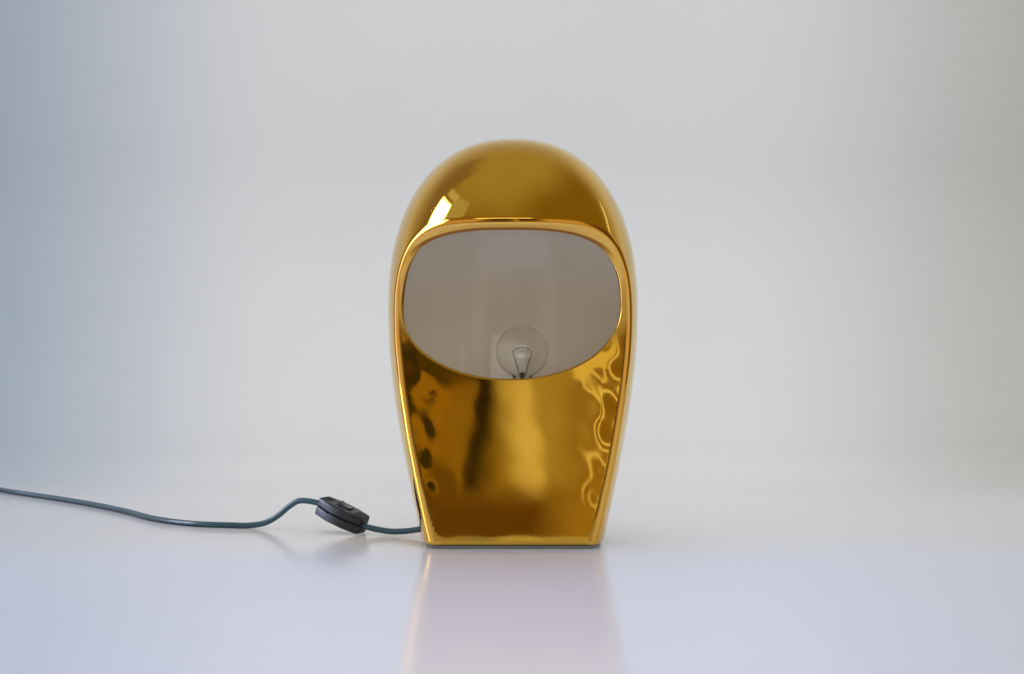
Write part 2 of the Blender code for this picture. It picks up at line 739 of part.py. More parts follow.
def make_holder(plastic, porcelain, brass, steel):
    """Make the lampholder: cap, shell, insert, screw sleeve, contact tongue and terminal screws."""
    centre = (HOLDER_X, HOLDER_Y, 0)
    bore = TUBE_RADIUS + CLEARANCE
    inner = HOLDER_RADIUS - HOLDER_WALL
    collar_top = CAP_BOTTOM + COLLAR_HEIGHT
    cap_top = CAP_BOTTOM + CAP_HEIGHT
    ledge = CAP_BOTTOM + INSERT_LEDGE
    bulge = HOLDER_RADIUS - COLLAR_RADIUS
    shoulder = collar_top + bulge
    turns = np.linspace(math.pi / 2, 0, SMALL_STEPS // 4 + 1)
    rounded = [
        (COLLAR_RADIUS + bulge * math.sin(turn), shoulder - bulge * math.cos(turn)) for turn in turns]
    cap = (
        (HOLDER_RADIUS, cap_top), *rounded, (COLLAR_RADIUS, CAP_BOTTOM),
        (bore, CAP_BOTTOM), (bore, collar_top + HOLDER_WALL),
        (inner - INSERT_LEDGE_WIDTH, shoulder), (inner - INSERT_LEDGE_WIDTH, ledge),
        (inner, ledge), (inner, cap_top))
    turned("holder_cap", cap, plastic, centre)
    shell_top = SHELL_BOTTOM + SHELL_HEIGHT
    shell = (
        (SHELL_MOUTH_RADIUS, shell_top), (HOLDER_RADIUS, SHELL_BOTTOM + SHELL_HEIGHT / 3),
        (HOLDER_RADIUS, SHELL_BOTTOM), (inner, SHELL_BOTTOM),
        (inner, SHELL_BOTTOM + SHELL_HEIGHT / 3), (SHELL_MOUTH_RADIUS - HOLDER_WALL, shell_top))
    turned("holder_shell", shell, plastic, centre)
    insert_radius = inner - CLEARANCE
    insert = (
        (0, INSERT_TOP), (insert_radius, INSERT_TOP),
        (insert_radius, INSERT_BOTTOM), (0, INSERT_BOTTOM))
    turned("holder_insert", insert, porcelain, centre)
    ring("thread_sleeve", SLEEVE_BORE, SLEEVE_BORE + SLEEVE_WALL, SLEEVE_BOTTOM,
         SLEEVE_BOTTOM + SLEEVE_HEIGHT, brass, centre)

    turns = np.linspace(0, math.pi, ARC_STEPS)
    sprung = [
        (TONGUE_LENGTH * (turn / math.pi - 0.5), SLEEVE_BOTTOM + TONGUE_CROWN * math.sin(turn))
        for turn in turns]
    outline = sprung + [(x, z + TONGUE_THICKNESS) for x, z in sprung[::-1]]
    tongue = prism("centre_contact", outline, -TONGUE_WIDTH / 2, TONGUE_WIDTH / 2, brass)
    tongue.matrix_world = Matrix.Translation(centre) @ Matrix.Rotation(math.pi / 2, 4, "X")
    for side, name in ((-1, "terminal_screw_left"), (1, "terminal_screw_right")):
        screw = bar(name, TERMINAL_RADIUS, TERMINAL_HEIGHT, steel)
        height = INSERT_BOTTOM - CLEARANCE - TERMINAL_HEIGHT / 2
        screw.location = (HOLDER_X + side * TERMINAL_SPACING / 2, HOLDER_Y, height)


def make_bulb(glass, nickel, black_glass, solder, wire):
    """Make the bulb: contact tip, insulator, screw cap, glass ball, stem, leads and filament."""
    centre = (HOLDER_X, HOLDER_Y, 0)
    tip_top = BULB_TIP_HEIGHT + TIP_HEIGHT
    turns = np.linspace(0, math.pi / 2, SMALL_STEPS // 4, endpoint=False)
    rounded = [(TIP_RADIUS * math.cos(turn), tip_top - TIP_HEIGHT * math.sin(turn)) for turn in turns]
    turned("contact_tip", ((0, tip_top), *rounded, (0, BULB_TIP_HEIGHT)), solder, centre, SMALL_STEPS)
    insulator_bottom = tip_top + CLEARANCE
    insulator_top = insulator_bottom + BULB_INSULATOR_HEIGHT
    cap_inner = BULB_CAP_RADIUS - BULB_CAP_WALL
    insulator = (
        (0, insulator_top), (cap_inner, insulator_top),
        (TIP_RADIUS + CLEARANCE, insulator_bottom), (0, insulator_bottom))
    turned("cap_insulator", insulator, black_glass, centre, SMALL_STEPS)
    rim_drop = BULB_CAP_RIM - BULB_CAP_RADIUS
    cap = ((BULB_CAP_RIM, BULB_CAP_TOP), (BULB_CAP_RIM, BULB_CAP_TOP - rim_drop),
           (BULB_CAP_RADIUS, BULB_CAP_TOP - 3 * rim_drop), (BULB_CAP_RADIUS, BULB_CAP_BOTTOM),
           (cap_inner, BULB_CAP_BOTTOM), (cap_inner, BULB_CAP_TOP))
    turned("bulb_cap", cap, nickel, centre)

    throat = cap_inner - CLEARANCE
    neck_height = BULB_CAP_TOP + CLEARANCE
    turns = np.linspace(0, math.pi - NECK_ANGLE, ARC_STEPS + 1)
    ball = [(BALL_RADIUS * math.sin(turn), BALL_HEIGHT + BALL_RADIUS * math.cos(turn)) for turn in turns]
    thin = BALL_RADIUS - GLASS_WALL
    inside = [(thin * math.sin(turn), BALL_HEIGHT + thin * math.cos(turn)) for turn in turns]
    outline = ball + [(NECK_RADIUS, neck_height), (throat, neck_height), (throat, GLASS_BOTTOM)]
    lining = [(throat - GLASS_WALL, GLASS_BOTTOM), (throat - GLASS_WALL, neck_height + GLASS_WALL)]
    outline = outline + lining + inside[::-1]
    outline[0] = (0, BULB_TOP)
    outline[-1] = (0, BULB_TOP - GLASS_WALL)
    turned("bulb_glass", outline, glass, centre)
    flare = throat - GLASS_WALL - CLEARANCE
    stem = (
        (0, STEM_TOP), (STEM_RADIUS, STEM_TOP - STEM_RADIUS),
        (STEM_RADIUS, GLASS_BOTTOM + STEM_FLARE_HEIGHT), (flare, GLASS_BOTTOM + STEM_FOOT_HEIGHT),
        (flare, GLASS_BOTTOM), (0, GLASS_BOTTOM))
    turned("glass_stem", stem, glass, centre, SMALL_STEPS)

    foot = STEM_RADIUS + LEAD_RADIUS + CLEARANCE
    top = STEM_TOP + LEAD_RISE
    for side, name in ((-1, "lead_wire_left"), (1, "lead_wire_right")):
        points = [
            Vector((HOLDER_X + side * x, HOLDER_Y, z)) for x, z in (
                (foot, STEM_TOP - 2 * STEM_RADIUS), (foot, STEM_TOP - STEM_RADIUS),
                (LEAD_SPREAD, top))]
        tube(name, points, LEAD_RADIUS, wire)
    base = top + LEAD_RADIUS + FILAMENT_RADIUS + CLEARANCE
    arch = [
        Vector((HOLDER_X + LEAD_SPREAD * share, HOLDER_Y, base + FILAMENT_ARCH * (1 - share**2)))
        for share in np.linspace(-1, 1, ARC_STEPS + 1)]
    tube("filament", arch, FILAMENT_RADIUS, wire, 1)


def make_inner_flex(inside, tube_bottom, black):
    """Lead the flex from the grommet up through the stem to the lampholder."""
    heading = Vector((math.cos(OUTLET_ANGLE), math.sin(OUTLET_ANGLE), 0))
    axis = Vector((HOLDER_X, HOLDER_Y, 0))
    start = inside + heading * FLEX_DIAMETER
    foot = axis + heading * FLEX_BEND
    points = [
        start, inside - heading * FLEX_DIAMETER,
        inside.lerp(axis + Vector((0, 0, OUTLET_HEIGHT)), 0.5),
        foot + Vector((0, 0, (OUTLET_HEIGHT + tube_bottom) / 2)),
        axis + Vector((0, 0, tube_bottom - FLEX_RADIUS)),
        axis + Vector((0, 0, tube_bottom + FLEX_DIAMETER)),
        axis + Vector((0, 0, CAP_BOTTOM)),
        axis + Vector((0, 0, INSERT_BOTTOM - CLEARANCE))]
    tube("inner_flex", smooth_route(points, ROUTE_SPACING / 2), FLEX_RADIUS, black)


def switch_outline():
    """Lozenge outline of the switch, widest in the middle."""
    end = SWITCH_LENGTH / 2
    flat = SWITCH_FLAT / 2
    return [
        (end, -SWITCH_END_WIDTH / 2), (end, SWITCH_END_WIDTH / 2), (flat, SWITCH_WIDTH / 2),
        (-flat, SWITCH_WIDTH / 2), (-end, SWITCH_END_WIDTH / 2), (-end, -SWITCH_END_WIDTH / 2),
        (-flat, -SWITCH_WIDTH / 2), (flat, -SWITCH_WIDTH / 2)][::-1]


def make_switch(plastic, dark, steel, brass):
    """Make the in-line switch on an empty at the middle of its split plane, +X towards the lamp."""
    seat = bpy.data.objects.new("switch_seat", None)
    PARTS.objects.link(seat)
    turn = Matrix.Rotation(SWITCH_TURN, 4, "Z") @ Matrix.Rotation(SWITCH_TILT, 4, "Y")
    along = turn @ Vector((1, 0, 0))
    middle = SWITCH_LAMP_END - along * (SWITCH_LENGTH / 2)
    seat.matrix_world = Matrix.Translation(middle) @ turn

    gap = CLEARANCE / 2
    lower = prism("switch_lower_shell", switch_outline(), -gap - SWITCH_LOWER, -gap, plastic)
    upper = prism("switch_upper_shell", switch_outline(), gap, gap + SWITCH_UPPER, plastic)
    for shell in (lower, upper):
        round_edges(shell, SWITCH_ROUNDING)
    bores = []
    for side, name in ((1, "lamp_flex_bore"), (-1, "mains_flex_bore")):
        bore = bar(name, FLEX_BORE, 2 * FLEX_GRIP, None, collection=CUTTERS)
        bore.matrix_world = (
            Matrix.Translation((side * SWITCH_LENGTH / 2, 0, 0)) @ Matrix.Rotation(math.pi / 2, 4, "Y"))
        bores.append(bore)
    pocket_size = (POCKET_LENGTH, POCKET_WIDTH, 2 * POCKET_DEPTH)
    pocket = block("contact_pocket", pocket_size, (0, 0, -gap), None, CUTTERS)
    slot_size = (ROCKER_LENGTH + 2 * ROCKER_PLAY, ROCKER_WIDTH + 2 * CLEARANCE, 4 * SWITCH_UPPER)
    slot = block("rocker_slot", slot_size, (0, 0, SWITCH_UPPER), None, CUTTERS)
    pivot = gap + ROCKER_PIVOT
    across = Matrix.Translation((0, 0, pivot)) @ Matrix.Rotation(math.pi / 2, 4, "X")
    pin_fit = ROCKER_PIN_RADIUS + CLEARANCE
    pin_bore = bar("pin_bore", pin_fit, ROCKER_PIN_LENGTH + 2 * CLEARANCE, None, collection=CUTTERS)
    pin_bore.matrix_world = across
    rocker_bore = bar("rocker_bore", pin_fit, 2 * SWITCH_WIDTH, None, collection=CUTTERS)
    rocker_bore.matrix_world = across
    pin = bar("rocker_pin", ROCKER_PIN_RADIUS, ROCKER_PIN_LENGTH, steel)
    pin.matrix_world = across
    for bore in bores:
        cut(lower, bore)
        cut(upper, bore)
    cut(lower, pocket)
    cut(upper, slot)
    cut(upper, pin_bore)

    half = ROCKER_LENGTH / 2
    shares = np.linspace(1, -1, ARC_STEPS + 1)
    crest = [(half * share, ROCKER_RISE - ROCKER_DISH * (1 - share**2)) for share in shares]
    underside = -ROCKER_PIVOT / 2
    profile = [(-ROCKER_FOOT / 2, underside), (ROCKER_FOOT / 2, underside), *crest]
    rocker = prism("switch_rocker", profile, -ROCKER_WIDTH / 2, ROCKER_WIDTH / 2, dark)
    tilt = Matrix.Rotation(ROCKER_TILT, 4, "Y") @ Matrix.Rotation(math.pi / 2, 4, "X")
    rocker.matrix_world = Matrix.Translation((0, 0, pivot)) @ tilt
    round_edges(rocker, SWITCH_ROUNDING / 4, 1)
    cut(rocker, rocker_bore)

    pieces = [lower, upper, pocket, slot, pin_bore, rocker_bore, pin, rocker, *bores]
    contact_height = -gap - POCKET_DEPTH + CLEARANCE + CONTACT_SIZE[2] / 2
    well_radius = SCREW_RADIUS + CLEARANCE
    for side, name in ((1, "lamp"), (-1, "mains")):
        centre = (side * CONTACT_SPACING / 2, 0, contact_height)
        pieces.append(block("contact_" + name, CONTACT_SIZE, centre, brass))
        place = (side * SCREW_SPACING / 2, 0, -gap - SWITCH_LOWER)
        well = bar("screw_well_" + name, well_radius, 2 * SCREW_LENGTH, None, collection=CUTTERS)
        well.location = place
        cut(lower, well)
        screw = bar("switch_screw_" + name, SCREW_RADIUS, SCREW_LENGTH - 2 * CLEARANCE, steel)
        screw.location = (place[0], 0, place[2] + SCREW_LENGTH / 2)
        pieces += [well, screw]
    for piece in pieces:
        piece.parent = seat
    bpy.context.view_layer.update()
    axis = seat.matrix_world.to_3x3() @ Vector((0, 1, 0))
    print("rocker pivot", [round(value, 6) for value in seat.matrix_world @ Vector((0, 0, pivot))],
          "axis", [round(value, 6) for value in axis])
    return seat.matrix_world, along


def coil_point(turn):
    """Point of the coil's centreline after some turns: in on the lower layer, out on the upper."""
    half_turns = COIL_TURNS / 2
    outermost = COIL_RADIUS + COIL_PITCH * half_turns / 2
    radius = outermost - COIL_PITCH * (half_turns - abs(turn - half_turns))
    climb = min(1, max(0, (turn - half_turns) / COIL_CLIMB + 0.5))
    climb = climb * climb * (3 - 2 * climb)
    heading = Vector((math.cos(COIL_HEADING), math.sin(COIL_HEADING), 0))
    left = Vector((-heading.y, heading.x, 0))
    centre = COIL_START + left * outermost
    angle = math.tau * turn
    spoke = -left * math.cos(angle) + heading * math.sin(angle)
    height = COIL_BOTTOM + FLEX_RADIUS + COIL_PITCH * climb
    return centre + spoke * radius + Vector((0, 0, height))


def least_gap(points):
    """Least clear distance between stretches of a coil that lie half a turn or more apart."""
    points = np.array([tuple(point) for point in points])
    distances = np.linalg.norm(points[:, None] - points[None], axis=-1)
    order = np.arange(len(points))
    apart = np.abs(order[:, None] - order[None]) >= COIL_POINTS_PER_TURN // 2
    return float(distances[apart].min()) - FLEX_DIAMETER


def make_coil(black, strap):
    """Wind the spare flex into a coil of loops in two layers, held by a tie."""
    count = round(COIL_TURNS * COIL_POINTS_PER_TURN)
    loops = [coil_point(COIL_TURNS * step / count) for step in range(count + 1)]
    nudge = 1 / FINE_STEPS
    arrives = (coil_point(nudge) - coil_point(0)).normalized()
    leaves = (coil_point(COIL_TURNS) - coil_point(COIL_TURNS - nudge)).normalized()
    lead = loops[0] - arrives * FLEX_DIAMETER
    trail = loops[-1] + leaves * FLEX_DIAMETER
    points = [lead, *loops, trail]
    tube("flex_coil", points, FLEX_RADIUS, black, 1)
    print("coil length", round(route_length(points), 4), "least gap", round(least_gap(loops), 5))

    sides = [coil_point(TIE_TURN + whole) for whole in range(math.ceil(COIL_TURNS - TIE_TURN))]
    centre = COIL_START + Vector((-math.sin(COIL_HEADING), math.cos(COIL_HEADING), 0)) * (
        COIL_RADIUS + COIL_PITCH * COIL_TURNS / 4)
    outwards = (sides[0] - centre).xy.normalized()
    reaches = [(side - centre).xy.length for side in sides]
    slack = FLEX_RADIUS + 3 * CLEARANCE
    low = min(reaches) - slack
    high = max(reaches) + slack
    bottom = COIL_BOTTOM - CLEARANCE
    top = COIL_BOTTOM + COIL_PITCH + FLEX_DIAMETER + CLEARANCE
    frame = Matrix.Translation(centre) @ Matrix.Rotation(math.atan2(outwards.y, outwards.x), 4, "Z")
    frame = frame @ Matrix.Rotation(math.pi / 2, 4, "X")
    middle = ((low + high) / 2, (bottom + top) / 2, 0)
    wide = high - low
    tall = top - bottom
    around = (wide + 2 * TIE_THICKNESS, tall + 2 * TIE_THICKNESS, TIE_WIDTH)
    tie = block("coil_tie", around, middle, strap)
    tie.matrix_world = frame
    hole = block("tie_hole", (wide, tall, 3 * TIE_WIDTH), middle, None, CUTTERS)
    hole.matrix_world = frame
    cut(tie, hole)
    return (lead, arrives), (trail, leaves)


def make_plug(end, heading, plastic, brass, black):
    """Make the two-pin plug with its tapered boot; +X runs along the pins from the boot's mouth."""
    lay = Matrix.Translation(end) @ Matrix.Rotation(math.atan2(heading.y, heading.x), 4, "Z")
    across = Matrix.Rotation(math.pi / 2, 4, "Y")
    sleeve = (
        (BOOT_RADIUS, BOOT_LENGTH), (BOOT_RADIUS, BOOT_LENGTH - BOOT_COLLAR), (BOOT_END_RADIUS, 0),
        (FLEX_BORE, 0), (FLEX_BORE, BOOT_LENGTH))
    boot = turned("plug_boot", sleeve, black, (0, 0, 0), SMALL_STEPS)
    boot.matrix_world = lay @ across
    rear = BOOT_LENGTH + CLEARANCE
    front = rear + PLUG_LENGTH
    shoulder = rear + PLUG_TAPER
    outline = [
        (rear, -PLUG_REAR_WIDTH / 2), (shoulder, -PLUG_WIDTH / 2), (front, -PLUG_WIDTH / 2),
        (front, PLUG_WIDTH / 2), (shoulder, PLUG_WIDTH / 2), (rear, PLUG_REAR_WIDTH / 2)]
    body = prism("plug_body", outline, -PLUG_HEIGHT / 2, PLUG_HEIGHT / 2, plastic)
    round_edges(body, PLUG_ROUNDING)
    body.matrix_world = lay
    for side, name in ((-1, "right"), (1, "left")):
        seat = lay @ Matrix.Translation((front, side * PIN_SPACING / 2, 0)) @ across
        well_length = 2 * (PIN_SEAT + CLEARANCE)
        well = bar("pin_well_" + name, PIN_RADIUS + CLEARANCE, well_length, None, collection=CUTTERS)
        well.matrix_world = seat
        cut(body, well)
        pin = bar("plug_pin_" + name, PIN_RADIUS, PIN_SEAT + PIN_LENGTH, brass)
        pin.matrix_world = seat @ Matrix.Translation((0, 0, (PIN_LENGTH - PIN_SEAT) / 2))
        round_edges(pin, PIN_RADIUS / 3, 1)
    return lay @ Vector((rear - CLEARANCE, 0, 0))


def make_free_flex(outside, switch_place, along, coil_start, coil_end, black, plastic, brass):
    """Lay the free flex from the lamp to the switch, to the coil and on to the plug."""
    heading = Vector((math.cos(OUTLET_ANGLE), math.sin(OUTLET_ANGLE), 0))
    grip = SWITCH_LENGTH / 2 - FLEX_GRIP + CLEARANCE
    lamp_end = switch_place @ Vector((grip, 0, 0))
    mains_end = switch_place @ Vector((-grip, 0, 0))
    run = FLEX_GRIP + FLEX_RADIUS
    start = outside - heading * FLEX_DIAMETER
    near = smooth_route(
        [start, outside + heading * FLEX_RADIUS, *above_table(LAMP_ROUTE), lamp_end + along * run, lamp_end],
        ROUTE_SPACING)
    tube("flex_lamp_to_switch", near, FLEX_RADIUS, black)

    lead, arrives = coil_start
    meet = lead - arrives * CLEARANCE
    left = smooth_route(
        [mains_end, mains_end - along * run, *above_table(LEFT_ROUTE),
         meet - arrives * FLEX_DIAMETER, meet], ROUTE_SPACING)
    tube("flex_switch_to_coil", left, FLEX_RADIUS, black)

    trail, leaves = coil_end
    begin = trail + leaves * CLEARANCE
    bend = Vector((*TAIL_BEND, PLUG_HEIGHT / 2))
    mouth = Vector((*PLUG_PLACE, PLUG_HEIGHT / 2))
    aim = (mouth - bend).normalized()
    seat = make_plug(mouth, aim, plastic, brass, black)
    tail = smooth_route(
        [begin, begin + leaves * FLEX_DIAMETER, bend, mouth, seat - aim * CLEARANCE], ROUTE_SPACING)
    tube("flex_coil_to_plug", tail, FLEX_RADIUS, black)
    print("free lengths", [round(route_length(part), 4) for part in (near, left, tail)])


def main():
    """Build every piece."""
    glaze = finish("gold_lustre_glaze", (0.62, 0.42, 0.16), 0.08, 1.0)
    felt = finish("dark_felt", (0.05, 0.05, 0.055), 0.95)
    rubber = finish("black_rubber", (0.02, 0.02, 0.02), 0.6)
    black = finish("black_flex", (0.015, 0.016, 0.018), 0.35)
    plastic = finish("black_plastic", (0.03, 0.032, 0.036), 0.4)
    dark = finish("rocker_plastic", (0.015, 0.02, 0.022), 0.3)
    white = finish("holder_plastic", (0.75, 0.74, 0.70), 0.35)
    porcelain = finish("porcelain", (0.85, 0.84, 0.80), 0.25)
    steel = finish("zinc_steel", (0.60, 0.61, 0.62), 0.35, 1.0)
    brass = finish("brass", (0.70, 0.52, 0.22), 0.3, 1.0)
    nickel = finish("nickel_plate", (0.68, 0.66, 0.62), 0.25, 1.0)
    glass = finish("clear_glass", (0.96, 0.97, 0.97), 0.02, alpha=0.25)
    black_glass = finish("black_glass", (0.02, 0.02, 0.025), 0.15)
    solder = finish("solder", (0.55, 0.55, 0.56), 0.4, 1.0)
    wire = finish("lead_wire", (0.35, 0.33, 0.30), 0.35, 1.0)
    strap = finish("tie_strap", (0.03, 0.03, 0.03), 0.5)

    body = make_body(glaze)
    outside, inside = make_outlet(body, rubber)
    make_pad(felt)
    tube_bottom = make_stem(steel, brass)
    make_holder(white, porcelain, brass, steel)
    make_bulb(glass, nickel, black_glass, solder, wire)
    make_inner_flex(inside, tube_bottom, black)
    switch_place, along = make_switch(plastic, dark, steel, brass)
    coil_start, coil_end = make_coil(black, strap)
    make_free_flex(outside, switch_place, along, coil_start, coil_end, black, plastic, brass)


clear_scene()
PARTS = make_collection("table_lamp")
CUTTERS = make_collection("cutters")
main()
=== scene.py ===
"""Helmet table lamp dressed for rendering, laid out as a Blender add-on.

Each operator makes one piece, or one group of like pieces, round the solids that the frame holds.
Sizes are in metres. The origin is on the table under the body's axis, +Z is up and the visor
opening faces -Y.
"""

import math

import bmesh
import bpy
import numpy as np
from mathutils import Matrix
from mathutils import Vector


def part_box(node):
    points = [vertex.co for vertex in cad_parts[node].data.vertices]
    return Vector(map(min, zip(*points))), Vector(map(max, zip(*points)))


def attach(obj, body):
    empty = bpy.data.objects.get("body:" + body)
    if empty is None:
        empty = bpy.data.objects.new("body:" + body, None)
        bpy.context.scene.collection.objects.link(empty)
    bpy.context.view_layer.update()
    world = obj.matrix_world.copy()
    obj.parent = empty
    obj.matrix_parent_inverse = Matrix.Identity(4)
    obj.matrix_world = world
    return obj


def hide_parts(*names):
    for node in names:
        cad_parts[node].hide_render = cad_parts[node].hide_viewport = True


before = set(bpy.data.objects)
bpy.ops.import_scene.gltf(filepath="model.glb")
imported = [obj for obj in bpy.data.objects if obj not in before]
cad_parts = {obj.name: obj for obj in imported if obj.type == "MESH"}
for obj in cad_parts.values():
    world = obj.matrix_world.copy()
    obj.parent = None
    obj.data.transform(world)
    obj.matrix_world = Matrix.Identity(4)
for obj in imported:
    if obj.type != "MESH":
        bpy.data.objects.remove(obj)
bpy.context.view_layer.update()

bl_info = {
    "name": "Helmet Table Lamp",
    "version": (1, 0, 0),
    "blender": (4, 5, 0),
    "location": "View3D > Sidebar > Lamp",
    "description": "Dresses a gold-glazed ceramic table lamp with its bulb, flex, switch and plug",
    "category": "Object",
}

# Form of the ceramic body, as its solid has it
CLEARANCE = 0.0003
BODY_TOP = 0.340
BODY_RADIUS = 0.1055
BASE_INSET = 0.030
WIDEST_HEIGHT = 0.194
DOME_POWER = 2.3
TAPER_SOFTNESS = 0.6
BASE_SQUARENESS = 0.9
BODY_WALL = 0.0065
RIDGE_ROUNDING = 0.0045
PANEL_DEPTH = 0.0515
PANEL_LEAN = math.tan(math.radians(3.2))
OPENING_X = -0.0020
OPENING_HEIGHT = 0.200
OPENING_HALF_WIDTH = 0.0921
OPENING_UP = 0.0590
OPENING_DOWN = 0.0628
OPENING_UPPER_POWER = 3.0
OPENING_LOWER_POWER = 2.1
LIP_BULGE = 0.0018
VISOR_START = OPENING_HEIGHT - 0.040
VISOR_POWER = 2.6
BROW_HEIGHT = OPENING_HEIGHT + OPENING_UP + 0.0025
PAD_THICKNESS = 0.0025
PAD_INSET = 0.003
BODY_BOTTOM = PAD_THICKNESS + CLEARANCE
FOOT_WIDTH = 0.009
FOOT_ROUNDING = 0.004
FLOOR_UNDERSIDE = 0.044
FLOOR_TOP = 0.051
FLOOR_ROUNDING = 0.006
OUTLET_ANGLE = math.radians(160)
OUTLET_HEIGHT = 0.0066
OUTLET_WIDTH = 0.009
GROMMET_PROUD = 0.001
GROMMET_SOFTNESS = 0.0004

# Place and sizes of the lampholder and the bulb
HOLDER = Vector((0.008, 0.005, 0))
TUBE_RADIUS = 0.005
HOLDER_RADIUS = 0.01375
HOLDER_MOUTH = 0.013
HOLDER_WALL = 0.0018
HOLDER_RIB = 0.0005
BULB_CAP_RADIUS = 0.0067
BULB_CAP_RIM = 0.0078
BULB_CAP_BOTTOM = 0.1112
BULB_CAP_TOP = 0.1307
CAP_WALL = 0.0006
COLLAR_HEIGHT = 0.0033
INSULATOR_FLAT = 0.0032
BALL_RADIUS = 0.0225
BALL_HEIGHT = 0.1610
BALL_END = math.radians(152)
NECK_RADIUS = 0.0072
GLASS_WALL = 0.0008
GLASS_BOTTOM = 0.1187
STEM_TOP = 0.1432
STEM_RADIUS = 0.0022
LEAD_RADIUS = 0.00036
LEAD_RISE = 0.0165
LEAD_SPREAD = 0.008
FILAMENT_ARCH = 0.0035
FILAMENT_RADIUS = 0.00007
WINDING_RADIUS = 0.00026

# Flex, switch, coil and plug
FLEX_DIAMETER = 0.0052
FLEX_RADIUS = FLEX_DIAMETER / 2
FLEX_STEP = 0.0025
SWITCH_LENGTH = 0.047
SWITCH_WIDTH = 0.024
SWITCH_END_WIDTH = 0.015
SWITCH_FLAT = 0.016
SWITCH_LOWER = 0.008
SWITCH_UPPER = 0.0077
SWITCH_SOFTNESS = 0.0016
SLOT_SOFTNESS = 0.0006
GRIP_INSET = 0.0028
GRIP_STEP = 0.0021
GRIP_LENGTH = 0.0105
GRIP_THICKNESS = 0.00055
SWITCH_TILT = math.radians(20)
SWITCH_TURN = math.radians(-27)
SWITCH_LAMP_END = Vector((-0.131, 0.047, 0.0079))
FLEX_GRIP = 0.006
SCREW_RADIUS = 0.0014
SCREW_LENGTH = 0.006
SCREW_SPACING = 0.031
ROCKER_LENGTH = 0.0125
ROCKER_WIDTH = 0.0072
ROCKER_FOOT = 0.010
ROCKER_PIVOT = 0.0035
ROCKER_RISE = 0.0068
ROCKER_DISH = 0.0010
ROCKER_TILT = math.radians(8)
ROCKER_PLAY = 0.0010
ROCKER_SOFTNESS = 0.0005
COIL_START = Vector((-0.600, 0.445, 0))
COIL_HEADING = math.radians(138)
COIL_RADIUS = 0.031
COIL_TURNS = 5.25
COIL_STEPS = 72
COIL_PITCH = 0.0059
COIL_CLIMB = 0.5
COIL_BOTTOM = 0.0013
TIE_TURN = 0.6
TIE_WIDTH = 0.008
TIE_THICKNESS = 0.001
TIE_SQUARENESS = 0.35
PLUG_LENGTH = 0.036
PLUG_WIDTH = 0.026
PLUG_REAR_WIDTH = 0.014
PLUG_HEIGHT = 0.0136
PLUG_TAPER = 0.0162
PLUG_SOFTNESS = 0.0042
PIN_RADIUS = 0.002
PIN_LENGTH = 0.019
PIN_SEAT = 0.006
PIN_BARE = 0.011
PIN_SPACING = 0.0186
BOOT_LENGTH = 0.024
BOOT_RADIUS = 0.0058
BOOT_END_RADIUS = 0.0039
BOOT_MARGIN = 0.0022
HOOP_THICKNESS = 0.0006
QUARTER_TURN = Matrix.Rotation(math.pi / 2, 4, "Y")

# Route points of the flex, each with its lift above flex that lies on the table
LAMP_ROUTE = ((-0.0920, 0.0334, 0.0020), (-0.1070, 0.0386, 0.0010))
LEFT_ROUTE = (
    (-0.1915, 0.0765, 0.0236),
    (-0.2005, 0.0795, 0.0186),
    (-0.2110, 0.0825, 0.0099),
    (-0.2230, 0.0855, 0.0030),
    (-0.2370, 0.0885, 0.0003),
    (-0.2560, 0.0925, 0.0),
    (-0.2900, 0.1030, 0.0),
    (-0.3330, 0.1400, 0.0),
    (-0.3780, 0.2060, 0.0),
    (-0.4300, 0.2720, 0.0),
    (-0.4950, 0.3430, 0.0),
    (-0.5580, 0.4040, 0.0003),
)
TAIL_BEND = (-0.680, 0.407)
PLUG_PLACE = (-0.700, 0.378)

# Fineness of the body's skin and of its pad
COLUMNS = 300
PAD_STEPS = 180
FACE_RINGS = 48
BACK_RINGS = 110
INNER_RINGS = 70
LIP_RINGS = 11
CORNER_RINGS = 6
FINE_STEPS = 400
RAY_STEPS = 40
COLUMN_LIMIT = 6.0
COLUMN_CROWDING = 0.75
RIDGE_LEAST = 0.005
RIDGE_LIMIT = 0.9
RIDGE_CROWDING = 1.25

# Finishes of the body, by the numbers of its bands, and colours in them
BODY_FINISHES = ("gold_lustre", "white_glaze", "bare_clay")
PINHOLE_BROWN = (0.16, 0.07, 0.02)
# The brown of the dark line inside the rim is painted: it stands in for the dark reflection along the
# lip's inner edge.
PAINTED_LIP_SHADE_BROWN = (0.32, 0.12, 0.012)
# The pale white under the dome is painted light: the glaze is made paler where more light falls at the top
# of the hollow.
PAINTED_LIGHT_UNDER_DOME = (0.96, 0.89, 0.77)
CLAY_SPECK = (0.42, 0.33, 0.24)

# Finishes that are alike in kind: colour, least and most roughness of mouldings, and a grain of their
# own; colour, tarnish, least and most roughness of metals
MOULDED = {
    "rocker_gloss": ((0.022, 0.034, 0.036), 0.18, 0.28),
    "black_rubber": ((0.016, 0.016, 0.017), 0.5, 0.65, 400.0),
    "cream_plastic": ((0.70, 0.67, 0.60), 0.25, 0.38),
    "white_porcelain": ((0.82, 0.80, 0.75), 0.15, 0.25),
    "tie_strap": ((0.020, 0.020, 0.021), 0.45, 0.6),
    "cap_glass": ((0.012, 0.012, 0.016), 0.08, 0.14),
}
PLATED = {
    "zinc_steel": ((0.60, 0.61, 0.62), (0.42, 0.42, 0.40), 0.25, 0.42),
    "bare_brass": ((0.74, 0.53, 0.21), (0.50, 0.33, 0.12), 0.20, 0.36),
    "nickel_plate": ((0.70, 0.68, 0.63), (0.52, 0.49, 0.43), 0.14, 0.28),
    "dull_solder": ((0.52, 0.52, 0.53), (0.33, 0.33, 0.34), 0.4, 0.6),
    "drawn_wire": ((0.20, 0.19, 0.18), (0.10, 0.095, 0.09), 0.3, 0.45),
    "tungsten": ((0.24, 0.23, 0.22), (0.13, 0.12, 0.12), 0.35, 0.5),
}
